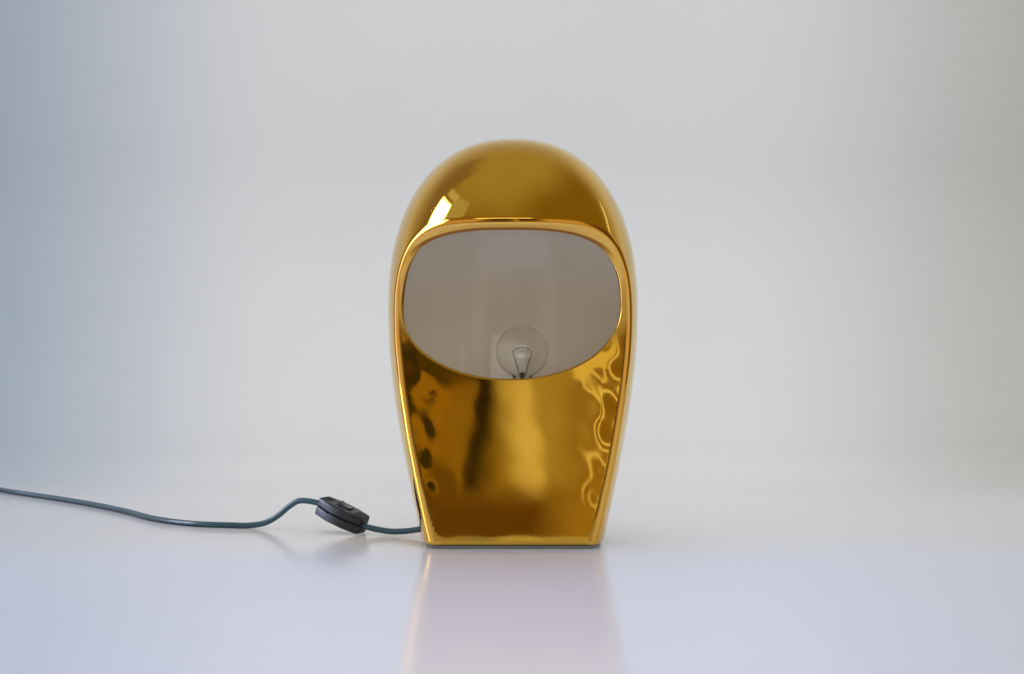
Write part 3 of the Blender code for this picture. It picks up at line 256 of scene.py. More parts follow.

# Table top: where the painted shade on its sides starts to fan out, and the colours of that painted shade
FAN_START = -1.326
FLOOR_MIDDLE = (0.61, 0.605, 0.64)
PAINTED_SIDE_SHADE = ((-0.13, -0.37, (0.50, 0.59, 0.71)), (0.13, 0.38, (0.66, 0.67, 0.60)))

# Soft fields of the mirrored room, in the order they are laid. Each has a colour and the places where
# it begins, is full, starts to fade and ends, across and upwards; some lean as they rise
DIM_FIELDS = (
    ((0.23, 0.155, 0.025), (-0.2, 0.8, 1.7, 2.6), (0.10, 0.45, 0.70, 0.98)),
    ((0.25, 0.20, 0.16), (-2.6, -2.3, -1.75, -1.55), (0.30, 0.50, 0.84, 0.95)),
)
FRONT_FIELDS = (
    ((0.075, 0.055, 0.015), (-0.075, -0.065, -0.022, -0.004), (0.078, 0.088, 0.12, 0.15)),
    ((0.026, 0.020, 0.012), (-0.0364, -0.0348, -0.029, -0.010), (0.002, 0.020, 0.09, 0.14), 0.16),
    ((0.42, 0.37, 0.18), (-0.016, 0.004, 0.024, 0.052), (0.002, 0.030, 0.08, 0.13)),
    ((0.74, 0.70, 0.54), (-0.002, 0.017, 0.019, 0.028), (0.002, 0.026, 0.07, 0.12), -0.14),
    ((0.95, 0.92, 0.80), (0.0485, 0.050, 0.0535, 0.055), (-0.02, 0.0, 0.10, 0.14)),
    ((0.95, 0.92, 0.80), (0.065, 0.067, 0.071, 0.073), (-0.02, 0.0, 0.10, 0.14)),
    ((0.80, 0.74, 0.46), (0.036, 0.039, 0.061, 0.064), (0.082, 0.087, 0.12, 0.15)),
)
SIDE_FIELDS = (
    ((0.09, 0.05, 0.025), (0.082, 0.11, 0.30, 0.45)),
    ((0.65, 0.46, 0.36), (0.42, 0.60, 1.15, 1.35)),
    ((0.13, 0.07, 0.05), (1.30, 1.45, 1.72, 1.95)),
)
WINDOW_FIELDS = (
    ((22.0, 22.0, 23.0), (-1.77, -1.71, -1.45, -1.38), (0.41, 0.45, 0.61, 0.66)),
    ((0.46, 0.47, 0.44), (-1.44, -1.38, -1.04, -0.97), (0.50, 0.55, 0.71, 0.75)),
    ((0.60, 0.60, 0.62), (-1.75, -1.65, -1.40, -1.33), (0.67, 0.69, 0.72, 0.75)),
    ((1.0, 0.95, 0.80), (1.71, 1.745, 1.765, 1.80), (0.12, 0.22, 0.45, 0.52), 0.7),
    ((1.8, 1.75, 1.6), (-0.75, -0.60, 0.28, 0.40), (0.31, 0.35, 0.41, 0.46)),
)

# Rays and columns from the body's core
CORE = np.array((0.0, 0.005, BROW_HEIGHT - 0.002))
OUT_AIM = Vector((0, -PANEL_DEPTH - CORE[1], OPENING_HEIGHT - CORE[2])).normalized()
DOWN_AIM = Vector((0, 0, -1))
FOCUS = math.tan(OUT_AIM.angle(DOWN_AIM) / 4)
MIDDLE_AXIS = np.array((OUT_AIM + DOWN_AIM).normalized())
RISE_AXIS = np.array((OUT_AIM - DOWN_AIM).normalized())


class BodyLooks(bpy.types.PropertyGroup):
    """Glaze of the ceramic body."""

    gold: bpy.props.FloatVectorProperty(
        name="Gold", description="Colour of the gold lustre seen straight on",
        subtype="COLOR", size=3, min=0, max=1, default=(0.84, 0.50, 0.060))
    thin_gold: bpy.props.FloatVectorProperty(
        name="Thin Gold", description="Colour of the lustre where it was brushed on thinly",
        subtype="COLOR", size=3, min=0, max=1, default=(0.78, 0.42, 0.035))
    gloss: bpy.props.FloatProperty(
        name="Roughness", description="Least roughness of the lustre",
        min=0, max=1, default=0.022)
    inside: bpy.props.FloatVectorProperty(
        name="Inside", description="Colour of the white glaze inside",
        subtype="COLOR", size=3, min=0, max=1, default=(0.78, 0.68, 0.53))
    rim: bpy.props.FloatVectorProperty(
        name="Rim", description="Colour of the satin lustre on the lip and the edge round the face",
        subtype="COLOR", size=3, min=0, max=1, default=(0.79, 0.45, 0.080))
    ripple: bpy.props.FloatProperty(
        name="Ripple", description="Height of the slow waves that hand casting leaves in the wall",
        subtype="DISTANCE", unit="LENGTH", min=0, max=0.001, default=0.00012)


class BulbLooks(bpy.types.PropertyGroup):
    """Bulb and lampholder."""

    thread_pitch: bpy.props.FloatProperty(
        name="Thread Pitch", description="Rise of the screw cap's thread in one turn",
        subtype="DISTANCE", unit="LENGTH", min=0.001, max=0.01, default=0.00282)
    thread_depth: bpy.props.FloatProperty(
        name="Thread Depth", description="Depth of the screw cap's rolled thread",
        subtype="DISTANCE", unit="LENGTH", min=0, max=0.002, default=0.0006)
    filament_turns: bpy.props.IntProperty(
        name="Filament Turns", description="Turns of the wound filament",
        min=1, max=400, default=90)
    holder_ribs: bpy.props.IntProperty(
        name="Holder Ribs", description="Grip ribs round the lampholder's shell",
        min=3, max=120, default=36)


class FlexLooks(bpy.types.PropertyGroup):
    """Flex, switch and plug."""

    flex: bpy.props.FloatVectorProperty(
        name="Flex", description="Colour of the flex's sheath",
        subtype="COLOR", size=3, min=0, max=1, default=(0.017, 0.058, 0.086))
    plastic: bpy.props.FloatVectorProperty(
        name="Plastic", description="Colour of the switch and the plug",
        subtype="COLOR", size=3, min=0, max=1, default=(0.006, 0.009, 0.014))
    boot_ribs: bpy.props.IntProperty(
        name="Boot Ribs", description="Ribs along the plug's boot",
        min=1, max=20, default=7)
    grip_ribs: bpy.props.IntProperty(
        name="Grip Ribs", description="Grip ribs across each end of the switch",
        min=1, max=12, default=4)


class StageLooks(bpy.types.PropertyGroup):
    """Floor, backdrop, lights and camera."""

    floor: bpy.props.FloatVectorProperty(
        name="Floor", description="Colour of the table top in front",
        subtype="COLOR", size=3, min=0, max=1, default=(0.585, 0.62, 0.765))
    wall: bpy.props.FloatVectorProperty(
        name="Wall", description="Colour of the backdrop",
        subtype="COLOR", size=3, min=0, max=1, default=(0.67, 0.675, 0.685))
    lens: bpy.props.FloatProperty(
        name="Lens", description="Focal length of the camera",
        unit="CAMERA", min=1, max=500, default=55.05)
    eye: bpy.props.FloatVectorProperty(
        name="Eye", description="Place of the camera",
        subtype="XYZ", unit="LENGTH", size=3, default=(-0.0008, -1.326, 0.173))


def add_node(tree, kind, inputs=None, **settings):
    """Add a node, set its options, and set or link its inputs by name or number."""
    made = tree.nodes.new(kind)
    for key, value in settings.items():
        setattr(made, key, value)
    for key, value in (inputs or {}).items():
        if isinstance(value, bpy.types.NodeSocket):
            tree.links.new(value, made.inputs[key])
        else:
            made.inputs[key].default_value = value
    return made


def calc(tree, operation, *values):
    """Add a maths node and return its result."""
    inputs = dict(enumerate(values))
    return add_node(tree, "ShaderNodeMath", inputs, operation=operation).outputs[0]


def smooth_step(tree, value, low, high, first=0.0, last=1.0):
    """Ease from one value to another between two places."""
    return add_node(tree, "ShaderNodeMapRange", {
        "Value": value, "From Min": low, "From Max": high, "To Min": first, "To Max": last},
        interpolation_type="SMOOTHSTEP").outputs[0]


def blend(tree, share, first, second, how="MIX"):
    """Mix two colours, each a plain one or another node's."""
    made = add_node(tree, "ShaderNodeMix", data_type="RGBA", blend_type=how)
    for number, value in ((0, share), (6, first), (7, second)):
        if isinstance(value, bpy.types.NodeSocket):
            tree.links.new(value, made.inputs[number])
        else:
            made.inputs[number].default_value = (*value, 1)
    return made.outputs[2]


def group_tree(name, kind, sockets):
    """Start a node group with named sockets; each is (name, direction, type, default)."""
    tree = bpy.data.node_groups.new(name, kind)
    for label, direction, socket_type, default in sockets:
        made = tree.interface.new_socket(label, in_out=direction, socket_type=socket_type)
        if default is not None:
            made.default_value = default
    start = tree.nodes.new("NodeGroupInput")
    end = tree.nodes.new("NodeGroupOutput")
    return tree, start.outputs, end


def shared(make):
    """Fetch the node group that a function makes, making it the first time."""
    return bpy.data.node_groups.get(make.__name__) or make()


def spread(tree, noise, low, high):
    """Spread the middle of a noise between two values."""
    return add_node(tree, "ShaderNodeMapRange", {
        "Value": noise, "From Min": 0.3, "From Max": 0.7, "To Min": low, "To Max": high}).outputs[0]


def drift_group():
    """Slow patches over a surface, for colour and gloss."""
    tree, given, end = group_tree("drift_group", "ShaderNodeTree", (
        ("Vector", "INPUT", "NodeSocketVector", None),
        ("Scale", "INPUT", "NodeSocketFloat", 20.0),
        ("Low", "INPUT", "NodeSocketFloat", 0.0),
        ("High", "INPUT", "NodeSocketFloat", 1.0),
        ("Value", "OUTPUT", "NodeSocketFloat", None)))
    noise = add_node(tree, "ShaderNodeTexNoise", {
        "Vector": given["Vector"], "Scale": given["Scale"], "Detail": 4.0, "Roughness": 0.55})
    tree.links.new(spread(tree, noise.outputs[0], given["Low"], given["High"]), end.inputs["Value"])
    return tree


def speck_group():
    """Small scattered specks, such as pinholes in a glaze or dust on plastic."""
    tree, given, end = group_tree("speck_group", "ShaderNodeTree", (
        ("Vector", "INPUT", "NodeSocketVector", None),
        ("Scale", "INPUT", "NodeSocketFloat", 200.0),
        ("Size", "INPUT", "NodeSocketFloat", 0.12),
        ("Share", "INPUT", "NodeSocketFloat", 0.1),
        ("Mask", "OUTPUT", "NodeSocketFloat", None)))
    cells = add_node(tree, "ShaderNodeTexVoronoi", {
        "Vector": given["Vector"], "Scale": given["Scale"]})
    lucky = add_node(tree, "ShaderNodeSeparateColor", {"Color": cells.outputs["Color"]})
    chosen = calc(tree, "LESS_THAN", lucky.outputs[0], given["Share"])
    near = smooth_step(tree, cells.outputs["Distance"], 0.0, given["Size"], 1.0, 0.0)
    tree.links.new(calc(tree, "MULTIPLY", chosen, near), end.inputs["Mask"])
    return tree


def drift(tree, place, scale, low=0.0, high=1.0):
    """Place the slow-patch group in a material."""
    return add_node(tree, "ShaderNodeGroup", {
        "Vector": place, "Scale": scale, "Low": low, "High": high},
        node_tree=shared(drift_group)).outputs["Value"]


def specks(tree, place, scale, size, share):
    """Place the speck group in a material."""
    return add_node(tree, "ShaderNodeGroup", {
        "Vector": place, "Scale": scale, "Size": size, "Share": share},
        node_tree=shared(speck_group)).outputs["Mask"]


def start_material(name, **values):
    """Make a material with its shader's plain values set; return it, its tree, shader and place."""
    made = bpy.data.materials.new(name)
    made.use_nodes = True
    tree = made.node_tree
    shader = tree.nodes["Principled BSDF"]
    for key, value in values.items():
        shader.inputs[key.replace("_", " ")].default_value = value
    place = add_node(tree, "ShaderNodeTexCoord").outputs["Object"]
    return made, tree, shader, place


def feed(shader, **sources):
    """Link outputs to a shader's inputs by name."""
    for key, source in sources.items():
        shader.id_data.links.new(source, shader.inputs[key.replace("_", " ")])


def bump(tree, shader, height, strength, distance):
    """Raise a height over the surface into the shader's normal."""
    made = add_node(tree, "ShaderNodeBump", {
        "Strength": strength, "Distance": distance, "Height": height})
    feed(shader, Normal=made.outputs["Normal"])


def gold_lustre(looks):
    """Mirror gold fired on a glaze: patches of thinner gold, pinholes, smears, a satin rim, and a painted
    dark line inside the rim that stands in for the lip's dark reflection.
    """
    made, tree, shader, place = start_material(
        "gold_lustre", Specular_Tint=(0.92, 0.98, 0.95, 1), Coat_Weight=0.4,
        Coat_Roughness=0.03, Coat_IOR=1.5)
    pits = specks(tree, place, 260.0, 0.10, 0.035)
    colour = blend(tree, drift(tree, place, 14.0), looks.gold, looks.thin_gold)
    colour = blend(tree, calc(tree, "MULTIPLY", pits, 0.6), colour, PINHOLE_BROWN)
    rim_and_painted_line_share = add_node(tree, "ShaderNodeAttribute", attribute_name="rim").outputs["Fac"]
    rim = calc(tree, "MAXIMUM", rim_and_painted_line_share, 0.0)
    # Painted reflection: a dark brown line along the lip's inner edge, where the lip would reflect
    # something dark.
    line = calc(tree, "MAXIMUM", calc(tree, "MULTIPLY", rim_and_painted_line_share, -1.0), 0.0)
    colour = blend(tree, line, blend(tree, rim, colour, looks.rim), PAINTED_LIP_SHADE_BROWN)
    metal = calc(tree, "SUBTRACT", 1.0, calc(tree, "MULTIPLY", rim, 0.42))
    smears = drift(tree, place, 38.0, looks.gloss, looks.gloss + 0.022)
    rough = calc(tree, "ADD", smears, calc(tree, "MULTIPLY", pits, 0.2))
    rough = calc(tree, "ADD", rough, calc(tree, "MULTIPLY", rim, 0.16))
    feed(shader, Base_Color=colour, Metallic=metal, Roughness=rough)
    orange_peel = calc(tree, "MULTIPLY", drift(tree, place, 210.0), 0.04)
    bump(tree, shader, calc(tree, "SUBTRACT", orange_peel, pits), 0.10, 0.0002)
    return made


def white_glaze(looks):
    """Glossy white glaze, uneven, with painted light that makes it paler towards the top of the hollow,
    and a few specks from the clay.
    """
    made, tree, shader, place = start_material("white_glaze", IOR=1.5)
    shade = tuple(value * 0.94 for value in looks.inside)
    pooled = blend(tree, drift(tree, place, 16.0), looks.inside, shade)
    height = add_node(tree, "ShaderNodeSeparateXYZ", {0: place}).outputs[2]
    # Painted light: the glaze turns paler towards the top of the hollow.
    colour = blend(tree, smooth_step(tree, height, 0.19, 0.26), pooled, PAINTED_LIGHT_UNDER_DOME)
    clay = calc(tree, "MULTIPLY", specks(tree, place, 330.0, 0.12, 0.02), 0.4)
    feed(shader, Base_Color=blend(tree, clay, colour, CLAY_SPECK),
         Roughness=drift(tree, place, 30.0, 0.05, 0.11))
    bump(tree, shader, drift(tree, place, 60.0), 0.12, 0.0004)
    return made


def bare_clay():
    """Unglazed foot ring."""
    made, tree, shader, place = start_material("bare_clay")
    grain = drift(tree, place, 240.0)
    feed(shader, Base_Color=blend(tree, grain, (0.62, 0.54, 0.44), (0.46, 0.38, 0.30)),
         Roughness=drift(tree, place, 90.0, 0.75, 0.95))
    bump(tree, shader, grain, 0.5, 0.0003)
    return made


def pressed_felt():
    """Dark pressed felt with loose fibres."""
    made, tree, shader, place = start_material("pressed_felt", Sheen_Weight=0.4, Sheen_Roughness=0.6)
    fibres = add_node(tree, "ShaderNodeTexNoise", {
        "Vector": place, "Scale": 900.0, "Detail": 5.0, "Distortion": 1.5}).outputs[0]
    feed(shader, Base_Color=blend(tree, fibres, (0.085, 0.083, 0.088), (0.20, 0.195, 0.20)),
         Roughness=drift(tree, place, 60.0, 0.85, 1.0))
    bump(tree, shader, fibres, 0.7, 0.0004)
    return made


def moulded(name, colour, low, high, grain=700.0):
    """Moulded plastic or rubber: fine grain, slow changes of gloss and a little dust."""
    made, tree, shader, place = start_material(name, IOR=1.5)
    lighter = tuple(min(1.0, value * 1.25 + 0.004) for value in colour)
    dusty = tuple(min(1.0, value + 0.10) for value in colour)
    worn = blend(tree, drift(tree, place, 45.0), colour, lighter)
    dust = calc(tree, "MULTIPLY", specks(tree, place, 900.0, 0.14, 0.03), 0.35)
    feed(shader, Base_Color=blend(tree, dust, worn, dusty),
         Roughness=drift(tree, place, 80.0, low, high))
    bump(tree, shader, drift(tree, place, grain), 0.10, 0.0001)
    return made


def plated(name, colour, tarnish, low, high):
    """Plated or bare metal with faint tarnish and fine scratches."""
    made, tree, shader, place = start_material(name, Metallic=1.0)
    stretch = add_node(tree, "ShaderNodeMapping", {"Vector": place, "Scale": (30.0, 30.0, 500.0)})
    scratches = add_node(tree, "ShaderNodeTexNoise", {
        "Vector": stretch.outputs[0], "Scale": 6.0, "Detail": 3.0}).outputs[0]
    feed(shader, Base_Color=blend(tree, drift(tree, place, 120.0), colour, tarnish),
         Roughness=spread(tree, scratches, low, high))
    bump(tree, shader, scratches, 0.08, 0.0001)
    return made


def lamp_glass():
    """Clear bulb glass with a breath of haze."""
    made, tree, shader, place = start_material(
        "lamp_glass", IOR=1.35, Transmission_Weight=1.0, Base_Color=(0.985, 0.99, 0.99, 1))
    feed(shader, Roughness=drift(tree, place, 60.0, 0.0, 0.012))
    return made


def finish(name):
    """Fetch a finish by name, making it the first time it is asked for."""
    scene = bpy.context.scene
    found = bpy.data.materials.get(name)
    if found:
        return found
    if name in MOULDED:
        return moulded(name, *MOULDED[name])
    if name in PLATED:
        return plated(name, *PLATED[name])
    makers = {
        "gold_lustre": lambda: gold_lustre(scene.lamp_body),
        "white_glaze": lambda: white_glaze(scene.lamp_body),
        "bare_clay": bare_clay,
        "pressed_felt": pressed_felt,
        "lamp_glass": lamp_glass,
        "flex_sheath": lambda: moulded(name, tuple(scene.lamp_flex.flex), 0.28, 0.40, 900.0),
        "switch_plastic": lambda: moulded(name, tuple(scene.lamp_flex.plastic), 0.30, 0.45)}
    return makers[name]()


def place_piece(name, mesh, body, finishes, replaced=()):
    """Put a finished mesh in the scene: its finishes, its body and the nodes it stands for."""
    made = bpy.data.objects.new(name, mesh)
    bpy.context.scene.collection.objects.link(made)
    choice = np.empty(len(mesh.polygons), dtype=np.int32)
    mesh.polygons.foreach_get("material_index", choice)
    mesh.materials.clear()
    for each in finishes:
        mesh.materials.append(finish(each))
    mesh.polygons.foreach_set("material_index", choice)
    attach(made, body)
    if replaced:
        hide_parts(*replaced)
    return made


def dress_nodes(name, *nodes):
    """Give the solids of some nodes a better finish."""
    for node in nodes:
        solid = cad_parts[node]
        solid.data.materials.clear()
        solid.data.materials.append(finish(name))


def skin(name, rings, closed=False):
    """Mesh of quads between rings of points; closed joins the last ring to the first."""
    rings = np.asarray(rings)
    count, width = rings.shape[:2]
    rows = np.arange(count if closed else count - 1)[:, None] * width
    columns = np.arange(width)[None]
    after = (columns + 1) % width
    next_rows = (rows + width) % (count * width)
    faces = np.stack((rows + columns, rows + after, next_rows + after, next_rows + columns), axis=-1)
    mesh = bpy.data.meshes.new(name)
    mesh.from_pydata(rings.reshape(-1, 3).tolist(), [], faces.reshape(-1, 4).tolist())
    return mesh


def face_out(mesh, merge=True, trim=False):
    """Turn a closed mesh's faces outwards, once doubled points and bare edges are gone."""
    shape = bmesh.new()
    shape.from_mesh(mesh)
    if merge:
        bmesh.ops.remove_doubles(shape, verts=shape.verts, dist=1e-7)
    if trim:
        bmesh.ops.dissolve_degenerate(shape, edges=shape.edges, dist=1e-8)
    bmesh.ops.recalc_face_normals(shape, faces=shape.faces)
    shape.to_mesh(mesh)
    shape.free()
    mesh.shade_smooth()
    return mesh


def polish(mesh, sharp):
    """Shade a mesh smooth, apart from edges past an angle in degrees."""
    mesh.shade_smooth()
    mesh.set_sharp_from_angle(angle=math.radians(sharp))
    return mesh


def lathe(name, outline, steps=96, centre=HOLDER, sharp=40):
    """Turn an outline of (radius, height) points about an upright axis into a closed mesh."""
    turns = np.linspace(0, math.tau, steps, endpoint=False)
    outline = np.array(outline)
    rings = np.stack([
        np.column_stack((radius * np.cos(turns), radius * np.sin(turns), np.full(steps, height)))
        for radius, height in outline])
    meets_axis = outline[0][0] < 1e-9 and outline[-1][0] < 1e-9
    mesh = skin(name, rings + np.array(centre), not meets_axis)
    return polish(face_out(mesh, trim=True), sharp)


def rod(name, radius, half, steps=40, centre=(0, 0, 0)):
    """Upright round bar that reaches half its length to both sides of its centre."""
    return lathe(name, ((0, half), (radius, half), (radius, -half), (0, -half)), steps, centre)


def prism(name, outline, low, high):
    """Prism over an outline of (x, y) points, between two heights."""
    shape = bmesh.new()
    floor = shape.faces.new([shape.verts.new((x, y, low)) for x, y in outline])
    raised = bmesh.ops.extrude_face_region(shape, geom=[floor])
    verts = [item for item in raised["geom"] if isinstance(item, bmesh.types.BMVert)]
    bmesh.ops.translate(shape, verts=verts, vec=(0, 0, high - low))
    bmesh.ops.recalc_face_normals(shape, faces=shape.faces)
    mesh = bpy.data.meshes.new(name)
    shape.to_mesh(mesh)
    shape.free()
    return mesh


def box_mesh(name, size, centre):
    """Rectangular block."""
    shape = bmesh.new()
    bmesh.ops.create_cube(shape, size=1)
    bmesh.ops.scale(shape, vec=size, verts=shape.verts)
    bmesh.ops.translate(shape, vec=centre, verts=shape.verts)
    mesh = bpy.data.meshes.new(name)
    shape.to_mesh(mesh)
    shape.free()
    return mesh


def settled(made):
    """Turn an object with modifiers into a plain mesh and remove the object."""
    bpy.context.view_layer.update()
    found = made.evaluated_get(bpy.context.evaluated_depsgraph_get())
    mesh = bpy.data.meshes.new_from_object(found)
    mesh.transform(made.matrix_world)
    bpy.data.objects.remove(made)
    return mesh


def rough_object(name, mesh, place=None):
    """Hold a mesh or curve in the scene while modifiers shape it."""
    made = bpy.data.objects.new(name, mesh)
    bpy.context.scene.collection.objects.link(made)
    if place is not None:
        made.matrix_world = place
    return made


def soften(made, width, segments=4, angle=25):
    """Round an object's edges."""
    bevel = made.modifiers.new("soft_edges", "BEVEL")
    bevel.width = width
    bevel.segments = segments
    bevel.limit_method = "ANGLE"
    bevel.angle_limit = math.radians(angle)


def take_away(made, cutter):
    """Cut one object out of another."""
    change = made.modifiers.new("cut", "BOOLEAN")
    change.operation = "DIFFERENCE"
    change.object = cutter


def growth_tree(name, sizes):
    """Start a geometry node group with a geometry in and out, named sizes and a material."""
    sockets = [("Geometry", "INPUT", "NodeSocketGeometry", None)]
    sockets += [(label, "INPUT", kind, default) for label, kind, default in sizes]
    sockets += [("Material", "INPUT", "NodeSocketMaterial", None),
                ("Geometry", "OUTPUT", "NodeSocketGeometry", None)]
    return group_tree(name, "GeometryNodeTree", sockets)


def finish_growth(tree, given, end, geometry):
    """End a geometry node group: real geometry, shaded smooth, with its material."""
    smooth = add_node(tree, "GeometryNodeSetShadeSmooth", {"Geometry": geometry})
    real = add_node(tree, "GeometryNodeRealizeInstances", {"Geometry": smooth.outputs[0]})
    painted = add_node(tree, "GeometryNodeSetMaterial", {
        "Geometry": real.outputs[0], "Material": given["Material"]})
    tree.links.new(painted.outputs[0], end.inputs["Geometry"])
    return tree


def grown(name, make, finish_name, data=None, **sizes):
    """Run a geometry node tree on a curve, or on nothing, and return the mesh that it grows."""
    tree = shared(make)
    made = rough_object(name, data or bpy.data.meshes.new(name))
    change = made.modifiers.new("grow", "NODES")
    change.node_group = tree
    labels = {
        item.name: item.identifier for item in tree.interface.items_tree
        if item.item_type == "SOCKET" and item.in_out == "INPUT"}
    for key, value in sizes.items():
        change[labels[key.replace("_", " ")]] = value
    change[labels["Material"]] = finish(finish_name)
    made.update_tag()
    return settled(made)


def tube(tree, curve, radius, sides, caps=True):
    """Sweep a round section along a curve."""
    section = add_node(tree, "GeometryNodeCurvePrimitiveCircle", {
        "Resolution": sides, "Radius": radius})
    return add_node(tree, "GeometryNodeCurveToMesh", {
        "Curve": curve, "Profile Curve": section.outputs[0], "Fill Caps": caps}).outputs[0]


def along_axis(tree, axis, value):
    """Vector along one axis."""
    return add_node(tree, "ShaderNodeCombineXYZ", {axis: value}).outputs[0]


def bars_on(tree, points, begin, end, radius, sides):
    """Round bar between two places, repeated on points."""
    line = add_node(tree, "GeometryNodeCurvePrimitiveLine", {"Start": begin, "End": end})
    bar = tube(tree, line.outputs[0], radius, sides)
    return add_node(tree, "GeometryNodeInstanceOnPoints", {
        "Points": points, "Instance": bar}).outputs[0]


def sheath_tree():
    """Tube along a path, for the flex and the bulb's wires."""
    tree, given, end = growth_tree("sheath_tree", (
        ("Radius", "NodeSocketFloat", FLEX_RADIUS), ("Sides", "NodeSocketInt", 24)))
    sheath = tube(tree, given["Geometry"], given["Radius"], given["Sides"])
    return finish_growth(tree, given, end, sheath)


def winding_tree():
    """Fine wire wound round a path, for the filament."""
    tree, given, end = growth_tree("winding_tree", (
        ("Turns", "NodeSocketInt", 90), ("Winding Radius", "NodeSocketFloat", 0.0003),
        ("Wire Radius", "NodeSocketFloat", 0.00006)))

    def vector(operation, inputs):
        """Result of a vector maths node."""
        return add_node(tree, "ShaderNodeVectorMath", inputs, operation=operation).outputs[0]

    count = calc(tree, "MULTIPLY", given["Turns"], 14.0)
    path = add_node(tree, "GeometryNodeResampleCurve", {"Curve": given["Geometry"], "Count": count})
    share = add_node(tree, "GeometryNodeSplineParameter").outputs["Factor"]
    angle = calc(tree, "MULTIPLY", calc(tree, "MULTIPLY", share, given["Turns"]), math.tau)
    across = add_node(tree, "GeometryNodeInputNormal").outputs[0]
    along = add_node(tree, "GeometryNodeInputTangent").outputs[0]
    third = vector("CROSS_PRODUCT", {0: along, 1: across})
    cosine = vector("SCALE", {0: across, "Scale": calc(tree, "COSINE", angle)})
    sine = vector("SCALE", {0: third, "Scale": calc(tree, "SINE", angle)})
    spoke = vector("ADD", {0: cosine, 1: sine})
    reach = vector("SCALE", {0: spoke, "Scale": given["Winding Radius"]})
    wound = add_node(tree, "GeometryNodeSetPosition", {"Geometry": path.outputs[0], "Offset": reach})
    wire = tube(tree, wound.outputs[0], given["Wire Radius"], 6)
    return finish_growth(tree, given, end, wire)


def thread_tree():
    """Rolled screw thread: a wall whose radius follows a helix and fades out at both ends."""
    tree, given, end = growth_tree("thread_tree", (
        ("Radius", "NodeSocketFloat", 0.0063), ("Depth", "NodeSocketFloat", 0.0006),
        ("Pitch", "NodeSocketFloat", 0.00282), ("Height", "NodeSocketFloat", 0.017),
        ("Bottom", "NodeSocketFloat", 0.0)))
    sheet = add_node(tree, "GeometryNodeMeshGrid", {
        "Size X": 1.0, "Size Y": 1.0, "Vertices X": 97, "Vertices Y": 121})
    spot = add_node(tree, "ShaderNodeSeparateXYZ", {
        0: add_node(tree, "GeometryNodeInputPosition").outputs[0]})
    turn = calc(tree, "MULTIPLY", calc(tree, "ADD", spot.outputs[0], 0.5), math.tau)
    share = calc(tree, "ADD", spot.outputs[1], 0.5)
    rise = calc(tree, "MULTIPLY", share, given["Height"])
    helix = calc(tree, "SUBTRACT", calc(
        tree, "MULTIPLY", calc(tree, "DIVIDE", rise, given["Pitch"]), math.tau), turn)
    wave = calc(tree, "MULTIPLY", calc(tree, "ADD", calc(tree, "SINE", helix), 1.0), 0.5)
    edge = calc(tree, "SUBTRACT", 0.5, calc(tree, "ABSOLUTE", calc(tree, "SUBTRACT", share, 0.5)))
    fade = smooth_step(tree, edge, 0.0, 0.12)
    swell = calc(tree, "MULTIPLY", calc(tree, "MULTIPLY", wave, fade), given["Depth"])
    radius = calc(tree, "ADD", given["Radius"], swell)
    bent = add_node(tree, "ShaderNodeCombineXYZ", {
        0: calc(tree, "MULTIPLY", radius, calc(tree, "COSINE", turn)),
        1: calc(tree, "MULTIPLY", radius, calc(tree, "SINE", turn)),
        2: calc(tree, "ADD", rise, given["Bottom"])})
    rolled = add_node(tree, "GeometryNodeSetPosition", {
        "Geometry": sheet.outputs["Mesh"], "Position": bent.outputs[0]})
    joined = add_node(tree, "GeometryNodeMergeByDistance", {
        "Geometry": rolled.outputs[0], "Distance": 1e-6})
    return finish_growth(tree, given, end, joined.outputs[0])


def hoop_tree():
    """Row of hoops that change in size along a line, for the ribs of a boot."""
    tree, given, end = growth_tree("hoop_tree", (
        ("Count", "NodeSocketInt", 7), ("Step", "NodeSocketFloat", 0.0026),
        ("Start", "NodeSocketFloat", 0.002), ("First Radius", "NodeSocketFloat", 0.004),
        ("Last Radius", "NodeSocketFloat", 0.0055), ("Thickness", "NodeSocketFloat", 0.0006)))
    row = add_node(tree, "GeometryNodeMeshLine", {
        "Count": given["Count"], "Start Location": along_axis(tree, 2, given["Start"]),
        "Offset": along_axis(tree, 2, given["Step"])})
    circle = add_node(tree, "GeometryNodeCurvePrimitiveCircle", {"Resolution": 48, "Radius": 1.0})
    index = add_node(tree, "GeometryNodeInputIndex").outputs[0]
    share = calc(tree, "DIVIDE", index, calc(tree, "SUBTRACT", given["Count"], 1.0))
    size = add_node(tree, "ShaderNodeMapRange", {
        "Value": share, "To Min": given["First Radius"], "To Max": given["Last Radius"]})
    hoops = add_node(tree, "GeometryNodeInstanceOnPoints", {
        "Points": row.outputs[0], "Instance": circle.outputs[0], "Scale": size.outputs[0]})
    loose = add_node(tree, "GeometryNodeRealizeInstances", {"Geometry": hoops.outputs[0]})
    ribs = tube(tree, loose.outputs[0], given["Thickness"], 12, caps=False)
    return finish_growth(tree, given, end, ribs)


def stave_tree():
    """Upright rounded ribs in a ring, for the grip of the lampholder."""
    tree, given, end = growth_tree("stave_tree", (
        ("Count", "NodeSocketInt", 36), ("Ring Radius", "NodeSocketFloat", 0.0137),
        ("Bottom", "NodeSocketFloat", 0.0), ("Height", "NodeSocketFloat", 0.01),
        ("Thickness", "NodeSocketFloat", 0.0005)))
    around = add_node(tree, "GeometryNodeCurvePrimitiveCircle", {
        "Resolution": given["Count"], "Radius": given["Ring Radius"]})
    spots = add_node(tree, "GeometryNodeCurveToPoints", {"Curve": around.outputs[0]}, mode="EVALUATED")
    top = calc(tree, "ADD", given["Bottom"], given["Height"])
    ring = bars_on(tree, spots.outputs[0], along_axis(tree, 2, given["Bottom"]),
                   along_axis(tree, 2, top), given["Thickness"], 10)
    return finish_growth(tree, given, end, ring)


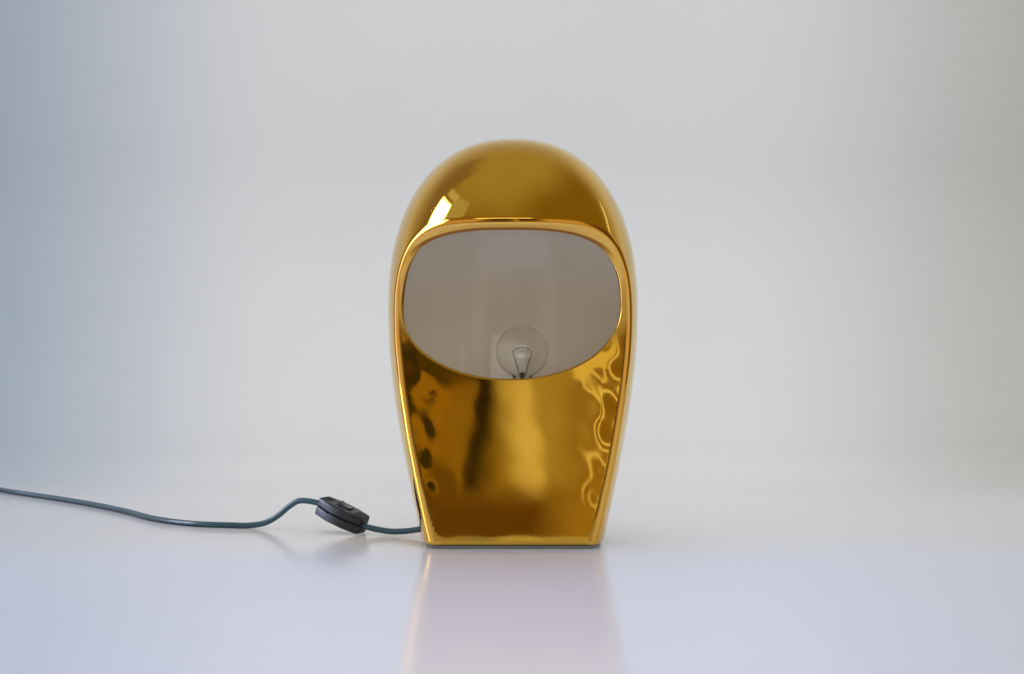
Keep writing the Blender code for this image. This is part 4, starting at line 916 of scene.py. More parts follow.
def bar_tree():
    """Row of rounded bars, for the grip ribs across the switch."""
    tree, given, end = growth_tree("bar_tree", (
        ("Count", "NodeSocketInt", 4), ("Start", "NodeSocketVector", (0.0, 0.0, 0.0)),
        ("Step", "NodeSocketVector", (0.002, 0.0, 0.0)), ("Length", "NodeSocketFloat", 0.012),
        ("Thickness", "NodeSocketFloat", 0.0005)))
    row = add_node(tree, "GeometryNodeMeshLine", {
        "Count": given["Count"], "Start Location": given["Start"], "Offset": given["Step"]})
    half = calc(tree, "MULTIPLY", given["Length"], 0.5)
    near = along_axis(tree, 1, calc(tree, "MULTIPLY", half, -1.0))
    bars = bars_on(tree, row.outputs[0], near, along_axis(tree, 1, half), given["Thickness"], 12)
    return finish_growth(tree, given, end, bars)


def path_curve(name, points):
    """Straight-segment curve through points."""
    curve = bpy.data.curves.new(name, "CURVE")
    curve.dimensions = "3D"
    spline = curve.splines.new("POLY")
    spline.points.add(len(points) - 1)
    for target, point in zip(spline.points, points):
        target.co = (*point, 1)
    return curve


def sheathed(name, points, radius, finish_name, sides=24):
    """Tube of one finish along points."""
    return face_out(grown(
        name, sheath_tree, finish_name, path_curve(name, points), Radius=radius, Sides=sides))


def smooth_max(first, second, rounding):
    """Greater of two depths, with the edge where they meet rounded."""
    overlap = np.clip(rounding - np.abs(first - second), 0, None)
    return np.maximum(first, second) + overlap**2 / (4 * rounding)


def egg_depth(points):
    """Depth of points in the turned egg that the body starts from, negative inside."""
    x, y, z = points[..., 0], points[..., 1], points[..., 2]
    drop = np.clip((WIDEST_HEIGHT - z) / WIDEST_HEIGHT, 0, None)
    power = 2 + BASE_SQUARENESS * np.clip(drop, 0, 1)**2
    radius = (np.abs(x)**power + np.abs(y)**power)**(1 / power)
    slope = BASE_INSET / (math.hypot(1, TAPER_SOFTNESS) - TAPER_SOFTNESS)
    lower = radius - BODY_RADIUS + slope * (np.hypot(drop, TAPER_SOFTNESS) - TAPER_SOFTNESS)
    rise = np.clip((z - WIDEST_HEIGHT) / (BODY_TOP - WIDEST_HEIGHT), 0, None)
    dome = ((radius / BODY_RADIUS)**DOME_POWER + rise**DOME_POWER)**(1 / DOME_POWER)
    return np.where(z > WIDEST_HEIGHT, BODY_RADIUS * (dome - 1), lower)


def brow_depth():
    """How far the dome stands in front of the axis at the brow."""
    rise = (BROW_HEIGHT - WIDEST_HEIGHT) / (BODY_TOP - WIDEST_HEIGHT)
    return BODY_RADIUS * (1 - rise**DOME_POWER)**(1 / DOME_POWER)


def face_depth(points):
    """Depth of points behind the leaning flat panel and the visor that curves forward over it."""
    y, z = points[..., 1], points[..., 2]
    front = brow_depth() + PANEL_LEAN * BROW_HEIGHT
    reach = front - PANEL_DEPTH
    back = np.clip((y - PANEL_LEAN * z + front) / reach, 0, None)
    rise = np.clip((z - VISOR_START) / (BROW_HEIGHT - VISOR_START), 0, None)
    return reach * (1 - (back**VISOR_POWER + rise**VISOR_POWER)**(1 / VISOR_POWER))


def plain_depth(points):
    """Depth of points in the body's outside, without the waves of its casting."""
    return smooth_max(egg_depth(points), face_depth(points), RIDGE_ROUNDING)


def waves(points):
    """Slow waves of a hand-cast wall, from -1 to 1."""
    x, y, z = points[..., 0], points[..., 1], points[..., 2]
    return 0.25 * (
        np.sin(151 * x + 57 * z + 1.1) + np.sin(-93 * x + 137 * z + 88 * y + 0.4)
        + np.sin(203 * x - 119 * y - 41 * z + 2.3) + np.sin(71 * y + 197 * z + 167 * x + 4.0))


def rippled_depth(points):
    """Depth of points in the body's outside with the waves of its casting."""
    margin = np.clip((np.abs(points[..., 0]) - 0.042) / 0.03, 0, 1)**2
    height = bpy.context.scene.lamp_body.ripple * (0.07 + margin)
    return plain_depth(points) + height * waves(points)


def hollow_depth(points):
    """Depth of points in the body's hollow, one wall inside the outside."""
    return plain_depth(points) + BODY_WALL


def ease(values, low, high):
    """Rise smoothly from 0 at low to 1 at high."""
    share = np.clip((values - low) / (high - low), 0, 1)
    return share * share * (3 - 2 * share)


def opening_share(points):
    """Below 1 inside the visor opening as seen from the front."""
    across = np.abs(points[..., 0] - OPENING_X) / OPENING_HALF_WIDTH
    up = points[..., 2] - OPENING_HEIGHT
    height = np.where(up > 0, up / OPENING_UP, -up / OPENING_DOWN)
    power = np.where(up > 0, OPENING_UPPER_POWER, OPENING_LOWER_POWER)
    return across**power + height**power


def rim_share(points):
    """How far points belong to the satin rim or, below nought, to the painted dark line inside it, which
    stands in for the lip's dark reflection.
    """
    height = points[..., 2]
    lead = egg_depth(points) - face_depth(points)
    lip = ease(height, OPENING_HEIGHT - 0.037, OPENING_HEIGHT - 0.005)
    edge = ease(lead, -0.0045, -0.0030) * 0.6
    before = ease(-lead, -0.0006, 0.0008)
    upper = ease(-opening_share(points), -1.105, -1.045) * ease(height, 0.225, 0.250)
    # The dark line is painted reflection, standing in for the dark band that the lip's inner edge
    # reflects.
    line = lip * before * np.maximum(upper, ease(-plain_depth(points), 0.0016, 0.0028))
    return np.maximum(lip, edge) * before * (1 - line) - line


def bisect(near, far, is_past):
    """Close in, from two sides, on the place where a test turns true."""
    for _ in range(RAY_STEPS):
        middle = (near + far) / 2
        past = is_past(middle)
        far = np.where(past, middle, far)
        near = np.where(past, near, middle)
    return near, far


def column_directions(around, along):
    """Directions of columns that run from the front round the body to straight down."""
    spread = np.cosh(along) - np.cos(around)
    reach = FOCUS**2 * (np.cosh(along) + np.cos(around))
    sideways = (2 * FOCUS * np.sin(around))[..., None] * np.array((1.0, 0.0, 0.0))
    rising = (2 * FOCUS * np.sinh(along))[..., None] * RISE_AXIS
    forward = (spread - reach)[..., None] * MIDDLE_AXIS
    return (sideways + rising + forward) / (spread + reach)[..., None]


def column_place(points):
    """Column values of points, the inverse of column_directions."""
    rays = points - CORE
    rays = rays / np.linalg.norm(rays, axis=-1, keepdims=True)
    lean = 1 + rays @ MIDDLE_AXIS
    across = rays[..., 0] / lean
    rise = rays @ RISE_AXIS / lean
    along = 0.5 * np.log(((rise + FOCUS)**2 + across**2) / ((rise - FOCUS)**2 + across**2))
    around = np.arctan2(2 * FOCUS * across, across**2 + rise**2 - FOCUS**2)
    return around, along


def surface_points(around, along, depth_of):
    """Points where the columns' rays from the core leave a form."""
    rays = column_directions(around, along)
    start = np.zeros(rays.shape[:-1])
    near, _far = bisect(start, start + 2 * BODY_TOP,
                        lambda reach: depth_of(CORE + reach[..., None] * rays) > 0)
    return CORE + near[..., None] * rays


def border(around, depth_of, is_past):
    """Where each column passes a border on its way down from the opening."""
    front = np.full_like(around, COLUMN_LIMIT)
    front, foot = bisect(
        front, -front, lambda along: is_past(surface_points(around, along, depth_of)))
    return (front + foot) / 2


def outward(points, depth_of):
    """Unit normals of a form at points on it."""
    step = 2e-5
    slopes = [depth_of(points + step * axis) - depth_of(points - step * axis) for axis in np.eye(3)]
    normals = np.stack(slopes, axis=-1)
    return normals / np.linalg.norm(normals, axis=-1, keepdims=True)


def inward_level(points, depth_of):
    """Level unit vectors into a form."""
    normals = outward(points, depth_of)
    normals[..., 2] = 0
    return -normals / np.linalg.norm(normals, axis=-1, keepdims=True)


def at_height(around, depth_of, height):
    """Ring of points round a form at one height below its widest."""
    along = border(around, depth_of, lambda points: points[..., 2] < height)
    return surface_points(around, along, depth_of)


def even_rings(around_of, along_start, along_end, depth_of, spread_of):
    """Rings between two borders; spread_of turns each column's length and ridge into places."""
    shares = np.linspace(0, 1, FINE_STEPS)[:, None]
    along = along_start + (along_end - along_start) * shares
    fine = surface_points(around_of(shares), along, depth_of)
    run = np.linalg.norm(np.diff(fine, axis=0), axis=-1).cumsum(axis=0)
    run = np.vstack((np.zeros(run.shape[1]), run))
    columns = np.arange(run.shape[1])
    lead = egg_depth(fine) - face_depth(fine)
    last = np.clip((lead < 0).sum(axis=0) - 1, 0, FINE_STEPS - 2)
    here, after = lead[last, columns], lead[last + 1, columns]
    part_way = np.clip(here / (here - after), 0, 1)
    ridge = run[last, columns] + part_way * (run[last + 1, columns] - run[last, columns])
    wanted = spread_of(run[-1], ridge)
    placed = np.stack([np.interp(wanted[:, i], run[:, i], shares[:, 0]) for i in columns], axis=1)
    along = along_start + (along_end - along_start) * placed
    return surface_points(around_of(placed), along, depth_of)


def split_at_ridge(whole, ridge):
    """Places along the columns before and behind the ridge round the face."""
    ridge = np.clip(ridge, RIDGE_LEAST * whole, RIDGE_LIMIT * whole)
    before = np.linspace(0, 1, FACE_RINGS, endpoint=False)[:, None] * ridge
    behind = np.linspace(0, 1, BACK_RINGS)[:, None]**RIDGE_CROWDING * (whole - ridge)
    return np.vstack((before, ridge + behind))


def spread_evenly(whole, _ridge):
    """Evenly spaced places along the columns of the hollow."""
    return np.linspace(0, 1, INNER_RINGS)[:, None] * whole


def past_opening(points):
    """Whether points lie outside the opening or behind the core."""
    return (opening_share(points) > 1) | (points[..., 1] > CORE[1])


def quarter_rings(points, inwards, rounding, rise):
    """Rings that round a wall into a level face; rise is -1 below the wall and 1 above."""
    rings = []
    for turn in np.linspace(0, math.pi / 2, CORNER_RINGS + 1)[1:]:
        shift = inwards * rounding * (1 - math.cos(turn))
        rings.append(points + shift + np.array((0, 0, rise * rounding * math.sin(turn))))
    return rings


def outlet_lay(depth):
    """Frame on the cord outlet's line, a depth in from the foot's outside; Z runs outwards."""
    heading = Vector((math.cos(OUTLET_ANGLE), math.sin(OUTLET_ANGLE), 0))
    near, _far = bisect(0.0, 2 * BODY_RADIUS, lambda reach: plain_depth(
        np.array((*(heading * float(reach)).xy, OUTLET_HEIGHT))) > 0)
    place = heading * (float(near) - depth) + Vector((0, 0, OUTLET_HEIGHT))
    turn = Matrix.Rotation(OUTLET_ANGLE, 4, "Z") @ Matrix.Rotation(math.pi / 2, 4, "Y")
    return Matrix.Translation(place) @ turn


def arch_mesh(name, radius, drop, low, high):
    """Half-round prism with straight legs; its X axis points down."""
    turns = np.linspace(math.pi / 2, 3 * math.pi / 2, 25)
    outline = [(radius * math.cos(turn), radius * math.sin(turn)) for turn in turns]
    return prism(name, outline + [(drop, -radius), (drop, radius)], low, high)


def body_rings():
    """Rings of the closed ceramic skin, and the finish number of the band after each ring."""
    even = np.linspace(-math.pi, math.pi, COLUMNS, endpoint=False)
    around = even - COLUMN_CROWDING * np.sin(even)
    opening = border(around, rippled_depth, past_opening)
    foot_height = BODY_BOTTOM + FOOT_ROUNDING
    foot = border(around, rippled_depth, lambda points: points[..., 2] < foot_height)
    outer = even_rings(lambda share: around + 0 * share, opening, foot, rippled_depth, split_at_ridge)
    rings = list(outer)
    inwards = inward_level(outer[-1], rippled_depth)
    rings += quarter_rings(outer[-1], inwards, FOOT_ROUNDING, -1)
    bands = [0] * (len(rings) - 1)

    foot_inner = outer[-1] + inwards * FOOT_WIDTH
    foot_inner[:, 2] = BODY_BOTTOM
    rings.append(foot_inner)
    for height in np.linspace(BODY_BOTTOM, FLOOR_UNDERSIDE, 6)[1:]:
        wall = at_height(around, plain_depth, height)
        rings.append(wall + inward_level(wall, plain_depth) * FOOT_WIDTH)
    hole = np.array(HOLDER.xy)
    spokes = rings[-1][:, :2] - hole
    spokes = spokes / np.linalg.norm(spokes, axis=1, keepdims=True)
    hole_edge = hole + spokes * (TUBE_RADIUS + CLEARANCE)
    rings.append(np.column_stack((hole_edge, np.full(COLUMNS, FLOOR_UNDERSIDE))))
    bands += [2] * (len(rings) - 1 - len(bands))
    rings.append(np.column_stack((hole_edge, np.full(COLUMNS, FLOOR_TOP))))

    floor_height = FLOOR_TOP + FLOOR_ROUNDING
    floor = border(around, hollow_depth, lambda points: points[..., 2] < floor_height)
    lip = outer[0] - outward(outer[0], plain_depth) * BODY_WALL
    lip_around, lip_along = column_place(lip)
    lip_shift = (lip_around - around + math.pi) % math.tau - math.pi
    inner = even_rings(
        lambda share: around + lip_shift * share**2, floor, lip_along, hollow_depth, spread_evenly)
    rings += quarter_rings(inner[0], inward_level(inner[0], hollow_depth), FLOOR_ROUNDING, -1)[::-1]
    rings += list(inner)
    bands += [1] * (len(rings) - 1 - len(bands))

    middle = (inner[-1] + outer[0]) / 2
    half = (outer[0] - inner[-1]) / 2
    edge = np.roll(middle, -1, axis=0) - np.roll(middle, 1, axis=0)
    inside = np.cross(half, edge)
    inside = inside / np.linalg.norm(inside, axis=1, keepdims=True)
    to_centre = np.array((OPENING_X, middle[:, 1].mean(), OPENING_HEIGHT)) - middle
    inside = inside * np.sign(np.einsum("ij,ij->i", inside, to_centre))[:, None]
    for turn in np.linspace(-math.pi / 2, math.pi / 2, LIP_RINGS + 2)[1:-1]:
        rings.append(middle + half * math.sin(turn) + inside * LIP_BULGE * math.cos(turn))
    bands += [1] + [0] * (len(rings) - len(bands) - 1)
    return rings, bands


def glaze_normals(mesh, spots):
    """Set the true normals of the glazed outside, with the lip's underside turned to the front."""
    count = len(mesh.loops)
    corners = np.empty(count, dtype=np.int32)
    mesh.loops.foreach_get("vertex_index", corners)
    points = spots[corners]
    own = np.empty(count * 3, dtype=np.float32)
    mesh.corner_normals.foreach_get("vector", own)
    own = own.reshape(-1, 3)
    exact = outward(points, rippled_depth)
    on_skin = (np.abs(rippled_depth(points)) < 2e-5) & (np.einsum("ij,ij->i", own, exact) > 0.8)
    chosen = np.where(on_skin[:, None], exact, own)
    under = np.clip(-chosen[:, 2] * 1.6, 0, 1) * (points[:, 2] > OPENING_HEIGHT)
    under *= points[:, 1] < -PANEL_DEPTH / 2
    chosen[:, 1] -= under
    chosen /= np.linalg.norm(chosen, axis=1, keepdims=True)
    mesh.normals_split_custom_set(chosen.tolist())


class LAMP_OT_body(bpy.types.Operator):
    """Make the glazed ceramic body with its lip, hollow, foot and cord notch"""

    bl_idname = "lamp.body"
    bl_label = "Ceramic Body"

    def execute(self, context):
        rings, bands = body_rings()
        mesh = skin("lamp_body", rings, closed=True)
        mesh.polygons.foreach_set("material_index", np.repeat(bands, COLUMNS))
        for name in BODY_FINISHES:
            mesh.materials.append(finish(name))
        made = rough_object("rough_body", face_out(mesh, merge=False))
        notch = rough_object("cord_notch", arch_mesh(
            "cord_notch", OUTLET_WIDTH / 2, 2 * OUTLET_HEIGHT, -2 * FOOT_WIDTH, 2 * FOOT_WIDTH),
            outlet_lay(FOOT_WIDTH / 2))
        take_away(made, notch)
        cut = settled(made)
        bpy.data.objects.remove(notch)

        spots = np.empty(len(cut.vertices) * 3)
        cut.vertices.foreach_get("co", spots)
        spots = spots.reshape(-1, 3)
        glaze_normals(cut, spots)
        rim = cut.attributes.new("rim", "FLOAT", "POINT")
        rim.data.foreach_set("value", rim_share(spots))
        place_piece("lamp_body", cut, "lamp", BODY_FINISHES, ("ceramic_body",))
        return {"FINISHED"}


class LAMP_OT_base(bpy.types.Operator):
    """Make the felt pad and the rubber grommet of the cord outlet"""

    bl_idname = "lamp.base"
    bl_label = "Base Pad and Grommet"

    def execute(self, context):
        turns = np.linspace(0, math.tau, PAD_STEPS, endpoint=False)
        start = np.zeros(PAD_STEPS)
        heading = np.column_stack((np.cos(turns), np.sin(turns), start))
        floor = np.array((0, 0, BODY_BOTTOM))
        near, _far = bisect(start, start + 2 * BODY_RADIUS, lambda reach: plain_depth(
            floor + reach[:, None] * heading) > -PAD_INSET)
        edge = near[:, None] * heading
        rings = [edge * share + np.array((0, 0, PAD_THICKNESS * height)) for share, height in (
            (0.0, 1.0), (0.985, 1.0), (0.998, 0.8), (1.0, 0.5), (0.998, 0.2), (0.985, 0.0), (0.0, 0.0))]
        pad = face_out(skin("felt_pad", rings))
        place_piece("felt_pad", pad, "lamp", ("pressed_felt",), ("base_pad",))

        lay = outlet_lay(FOOT_WIDTH / 2)
        reach = FOOT_WIDTH / 2 + GROMMET_PROUD
        legs = OUTLET_HEIGHT - PAD_THICKNESS - CLEARANCE
        made = rough_object("rough_grommet", arch_mesh(
            "grommet", OUTLET_WIDTH / 2 - CLEARANCE, legs, -reach, reach), lay)
        bore = rough_object("bore", rod("bore", FLEX_RADIUS + CLEARANCE, 4 * reach, 48), lay)
        take_away(made, bore)
        soften(made, GROMMET_SOFTNESS, 3, 30)
        mesh = polish(settled(made), 50)
        bpy.data.objects.remove(bore)
        place_piece("outlet_grommet", mesh, "lamp", ("black_rubber",), ("cord_grommet",))
        return {"FINISHED"}


class LAMP_OT_holder(bpy.types.Operator):
    """Make the lampholder's shells and dress its inner parts"""

    bl_idname = "lamp.holder"
    bl_label = "Lampholder"

    def execute(self, context):
        low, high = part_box("holder_shell")
        grip_top = low.z + (high.z - low.z) / 3
        bore = HOLDER_MOUTH - HOLDER_WALL
        shell = [
            (HOLDER_MOUTH - 0.0006, high.z), (HOLDER_MOUTH, high.z - 0.0004),
            (HOLDER_MOUTH, high.z - 0.0010), (HOLDER_RADIUS - 0.0003, grip_top),
            (HOLDER_RADIUS - 0.0003, low.z + 0.0012), (HOLDER_RADIUS, low.z + 0.0010),
            (HOLDER_RADIUS, low.z), (HOLDER_RADIUS - HOLDER_WALL, low.z),
            (HOLDER_RADIUS - HOLDER_WALL, grip_top), (bore, high.z - 0.0006), (bore + 0.0006, high.z)]
        place_piece("holder_sleeve", lathe("holder_sleeve", shell), "lamp",
                    ("cream_plastic",), ("holder_shell",))
        staves = grown(
            "holder_grip", stave_tree, "cream_plastic", Count=context.scene.lamp_bulb.holder_ribs,
            Ring_Radius=HOLDER_RADIUS - HOLDER_RIB, Bottom=low.z + 0.0016,
            Height=grip_top - low.z - 0.0024, Thickness=HOLDER_RIB)
        staves.transform(Matrix.Translation(HOLDER))
        place_piece("holder_grip", face_out(staves), "lamp", ("cream_plastic",))
        dress_nodes("cream_plastic", "holder_cap")
        dress_nodes("white_porcelain", "holder_insert")
        dress_nodes("bare_brass", "thread_sleeve", "centre_contact", "spacer_sleeve", "contact_lamp",
                    "contact_mains")
        dress_nodes("zinc_steel", "stem_tube", "lower_nut", "lower_washer", "upper_washer",
                    "terminal_screw_left", "terminal_screw_right", "rocker_pin")
        dress_nodes("flex_sheath", "inner_flex")
        return {"FINISHED"}


def smooth_route(points, spacing):
    """Evenly spaced points on a smooth curve through route points; its end runs stay straight."""
    route = np.array([tuple(point) for point in points])
    knots = np.sqrt(np.linalg.norm(np.diff(route, axis=0), axis=1))
    fine = []
    for index in range(1, len(route) - 2):
        before, start, end, after = route[index - 1:index + 3]
        gap_before, gap, gap_after = knots[index - 1:index + 2]
        straight = (end - start) / gap
        lead = (start - before) / gap_before - (end - before) / (gap_before + gap) + straight
        trail = straight - (after - start) / (gap + gap_after) + (after - end) / gap_after
        for share in np.linspace(0, 1, 24, endpoint=False):
            fine.append(
                (2 * share**3 - 3 * share**2 + 1) * start
                + (share**3 - 2 * share**2 + share) * gap * lead
                + (3 * share**2 - 2 * share**3) * end
                + (share**3 - share**2) * gap * trail)
    fine.append(route[-2])
    fine = np.array(fine)
    run = np.concatenate(((0,), np.cumsum(np.linalg.norm(np.diff(fine, axis=0), axis=1))))
    wanted = np.linspace(0, run[-1], max(2, round(run[-1] / spacing)) + 1)
    spaced = np.column_stack([np.interp(wanted, run, fine[:, axis]) for axis in range(3)])
    return np.vstack((route[0], spaced, route[-1]))


class LAMP_OT_bulb(bpy.types.Operator):
    """Make the screw-in bulb: cap, glass, stem, lead wires and wound filament"""

    bl_idname = "lamp.bulb"
    bl_label = "Bulb"

    def execute(self, context):
        looks = context.scene.lamp_bulb
        self.cap(looks)
        self.glass()
        self.wires(looks)
        return {"FINISHED"}

    @staticmethod
    def cap(looks):
        """Threaded cap with its collar, insulator and soldered tip."""
        root = BULB_CAP_RADIUS - looks.thread_depth
        thread_top = BULB_CAP_TOP - COLLAR_HEIGHT
        thread = grown(
            "bulb_thread", thread_tree, "nickel_plate", Radius=root, Depth=looks.thread_depth,
            Pitch=looks.thread_pitch, Height=thread_top - BULB_CAP_BOTTOM, Bottom=BULB_CAP_BOTTOM)
        thread.transform(Matrix.Translation(HOLDER))
        thread.shade_smooth()
        place_piece("bulb_thread", thread, "bulb", ("nickel_plate",), ("bulb_cap",))
        collar = (
            (root - CAP_WALL, BULB_CAP_TOP), (BULB_CAP_RIM - 0.0003, BULB_CAP_TOP),
            (BULB_CAP_RIM, BULB_CAP_TOP - 0.0004), (BULB_CAP_RIM - 0.0004, BULB_CAP_TOP - 0.0014),
            (root + 0.0004, thread_top + 0.0005), (root, thread_top),
            (root, BULB_CAP_BOTTOM + 0.0002), (root - CAP_WALL, BULB_CAP_BOTTOM + 0.0002))
        place_piece("bulb_collar", lathe("bulb_collar", collar, 128), "bulb",
                    ("nickel_plate",))

        turns = np.linspace(0, math.pi / 2, 12)
        low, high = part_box("cap_insulator")
        radius = high.x - HOLDER.x
        round_part = [
            (INSULATOR_FLAT + (radius - INSULATOR_FLAT) * math.cos(turn),
             high.z - (high.z - low.z) * math.sin(turn)) for turn in turns]
        insulator = [(0, high.z), (radius, high.z), *round_part, (0, low.z)]
        place_piece("bulb_insulator", lathe("bulb_insulator", insulator, 64), "bulb",
                    ("cap_glass",), ("cap_insulator",))
        low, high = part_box("contact_tip")
        radius = high.x - HOLDER.x
        round_part = [(radius * math.cos(turn), high.z - (high.z - low.z) * math.sin(turn))
                      for turn in turns[:-1]]
        tip = [(0, high.z), *round_part, (0, low.z)]
        place_piece("bulb_tip", lathe("bulb_tip", tip, 48), "bulb_lift", ("dull_solder",),
                    ("contact_tip",))

    def glass(self):
        """Globe with a wall, and the stem with the seal in it."""
        throat = BULB_CAP_RADIUS - 0.0011
        bore = throat - GLASS_WALL
        neck_low = BULB_CAP_TOP + CLEARANCE
        outside = self.ball(BALL_RADIUS, (NECK_RADIUS, neck_low))
        inside = self.ball(BALL_RADIUS - GLASS_WALL, (bore, neck_low + GLASS_WALL))
        outline = [*outside, (throat, neck_low), (throat, GLASS_BOTTOM), (bore, GLASS_BOTTOM),
                   *inside[::-1]]
        place_piece("bulb_globe", lathe("bulb_globe", outline, 128, sharp=70), "bulb",
                    ("lamp_glass",), ("bulb_glass",))

        flare = bore - CLEARANCE
        stem = [
            (0, STEM_TOP), (0.0012, STEM_TOP - 0.0003), (0.0020, STEM_TOP - 0.0010),
            (STEM_RADIUS, STEM_TOP - 0.0022), (0.0017, STEM_TOP - 0.0060),
            (STEM_RADIUS, GLASS_BOTTOM + 0.012), (0.0030, GLASS_BOTTOM + 0.006),
            (flare, GLASS_BOTTOM + 0.002), (flare, GLASS_BOTTOM), (0, GLASS_BOTTOM)]
        place_piece("bulb_stem", lathe("bulb_stem", stem, 48, sharp=60), "bulb",
                    ("lamp_glass",), ("glass_stem",))
        seal = [(0, STEM_TOP - 0.0008), (0.0013, STEM_TOP - 0.0010), (0.0014, STEM_TOP - 0.0030),
                (0.0012, STEM_TOP - 0.0062), (0, STEM_TOP - 0.0066)]
        place_piece("bulb_seal", lathe("bulb_seal", seal, 32, sharp=60), "bulb",
                    ("drawn_wire",))

    @staticmethod
    def wires(looks):
        """Two lead wires and the filament wound between them."""
        foot = STEM_RADIUS + 0.0004 + CLEARANCE
        top = STEM_TOP + LEAD_RISE
        for side, name in ((-1, "left"), (1, "right")):
            route = [(HOLDER.x + side * x, HOLDER.y, z) for x, z in (
                (foot, STEM_TOP - 0.0044), (foot, STEM_TOP - 0.0022),
                (foot * 1.05, STEM_TOP - 0.0006), (LEAD_SPREAD, top),
                (LEAD_SPREAD + 0.0003, top + 0.0008), (LEAD_SPREAD - 0.0002, top + 0.0013))]
            label = "bulb_lead_" + name
            wire = sheathed(label, smooth_route(route, 0.0006), LEAD_RADIUS, "drawn_wire", 10)
            place_piece(label, wire, "bulb", ("drawn_wire",), ("lead_wire_" + name,))
        arch = [
            (HOLDER.x + LEAD_SPREAD * share, HOLDER.y, top + 0.0010 + FILAMENT_ARCH * (1 - share**2))
            for share in np.linspace(-1, 1, 41)]
        wound = grown(
            "bulb_filament", winding_tree, "tungsten", path_curve("bulb_filament", arch),
            Turns=looks.filament_turns, Winding_Radius=WINDING_RADIUS, Wire_Radius=FILAMENT_RADIUS)
        place_piece("bulb_filament", face_out(wound), "bulb", ("tungsten",), ("filament",))

    @staticmethod
    def ball(radius, neck):
        """Outline of a ball from its top, then a soft curve along its slope to an upright neck."""
        points = [(radius * math.sin(turn), BALL_HEIGHT + radius * math.cos(turn))
                  for turn in np.linspace(0, BALL_END, 72)]
        begin = Vector(points[-1])
        end = Vector(neck)
        reach = (end - begin).length * 0.45
        first = begin + Vector((math.cos(BALL_END), -math.sin(BALL_END))) * reach
        second = end + Vector((0, reach))
        for share in np.linspace(0, 1, 15)[1:]:
            rest = 1 - share
            point = begin * rest**3 + first * 3 * rest**2 * share
            point += second * 3 * rest * share**2 + end * share**3
            points.append(tuple(point))
        return points


def above_table(route):
    """Route points with their lifts turned into heights above the table."""
    return [Vector((x, y, FLEX_RADIUS + lift)) for x, y, lift in route]


def coil_point(turn):
    """Point of the coil's centreline after some turns: in on the lower layer, out on the upper."""
    half_turns = COIL_TURNS / 2
    outermost = COIL_RADIUS + COIL_PITCH * half_turns / 2
    radius = outermost - COIL_PITCH * (half_turns - abs(turn - half_turns))
    climb = min(1, max(0, (turn - half_turns) / COIL_CLIMB + 0.5))
    climb = climb * climb * (3 - 2 * climb)
    heading = Vector((math.cos(COIL_HEADING), math.sin(COIL_HEADING), 0))
    left = Vector((-heading.y, heading.x, 0))
    centre = COIL_START + left * outermost
    angle = math.tau * turn
    spoke = -left * math.cos(angle) + heading * math.sin(angle)
    height = COIL_BOTTOM + FLEX_RADIUS + COIL_PITCH * climb
    return centre + spoke * radius + Vector((0, 0, height))


def switch_place():
    """Frame at the middle of the switch's split plane; +X points towards the lamp."""
    turn = Matrix.Rotation(SWITCH_TURN, 4, "Z") @ Matrix.Rotation(SWITCH_TILT, 4, "Y")
    along = turn @ Vector((1, 0, 0))
    return Matrix.Translation(SWITCH_LAMP_END - along * (SWITCH_LENGTH / 2)) @ turn, along


def plug_place():
    """Frame at the mouth of the plug's boot; +X runs along the pins."""
    bend = Vector((*TAIL_BEND, PLUG_HEIGHT / 2))
    mouth = Vector((*PLUG_PLACE, PLUG_HEIGHT / 2))
    aim = (mouth - bend).normalized()
    turn = Matrix.Rotation(math.atan2(aim.y, aim.x), 4, "Z")
    return Matrix.Translation(mouth) @ turn, bend, mouth, aim


class LAMP_OT_flex(bpy.types.Operator):
    """Lay the flex from the lamp to the switch, and from the switch through its coil to the plug"""

    bl_idname = "lamp.flex"
    bl_label = "Flex"

    def execute(self, context):
        outside = outlet_lay(-GROMMET_PROUD).translation
        heading = Vector((math.cos(OUTLET_ANGLE), math.sin(OUTLET_ANGLE), 0))
        place, along = switch_place()
        grip = SWITCH_LENGTH / 2 - FLEX_GRIP + CLEARANCE
        lamp_end = place @ Vector((grip, 0, 0))
        mains_end = place @ Vector((-grip, 0, 0))
        run = FLEX_GRIP + FLEX_RADIUS
        near = smooth_route(
            [outside - heading * FLEX_DIAMETER, outside + heading * FLEX_RADIUS,
             *above_table(LAMP_ROUTE), lamp_end + along * run, lamp_end], FLEX_STEP)

        count = round(COIL_TURNS * COIL_STEPS)
        loops = [coil_point(COIL_TURNS * step / count) for step in range(count + 1)]
        arrives = (coil_point(0.005) - coil_point(0)).normalized()
        leaves = (coil_point(COIL_TURNS) - coil_point(COIL_TURNS - 0.005)).normalized()
        meet = loops[0] - arrives * FLEX_DIAMETER
        left = smooth_route(
            [mains_end, mains_end - along * run, *above_table(LEFT_ROUTE),
             meet - arrives * FLEX_DIAMETER, meet], FLEX_STEP)
        begin = loops[-1] + leaves * FLEX_DIAMETER
        _lay, bend, mouth, aim = plug_place()
        seat = mouth + aim * (BOOT_LENGTH - CLEARANCE)
        tail = smooth_route([begin, begin + leaves * FLEX_DIAMETER, bend, mouth, seat], FLEX_STEP)
        whole = [*left, *[tuple(point) for point in loops], *tail]

        first = place_piece("flex_to_switch", sheathed("flex_to_switch", near, FLEX_RADIUS, "flex_sheath"),
                            "lamp", ("flex_sheath",), ("flex_lamp_to_switch",))
        second = place_piece("flex_to_plug", sheathed("flex_to_plug", whole, FLEX_RADIUS, "flex_sheath"),
                             "lamp", ("flex_sheath",),
                             ("flex_switch_to_coil", "flex_coil", "flex_coil_to_plug"))
        return {"FINISHED"}


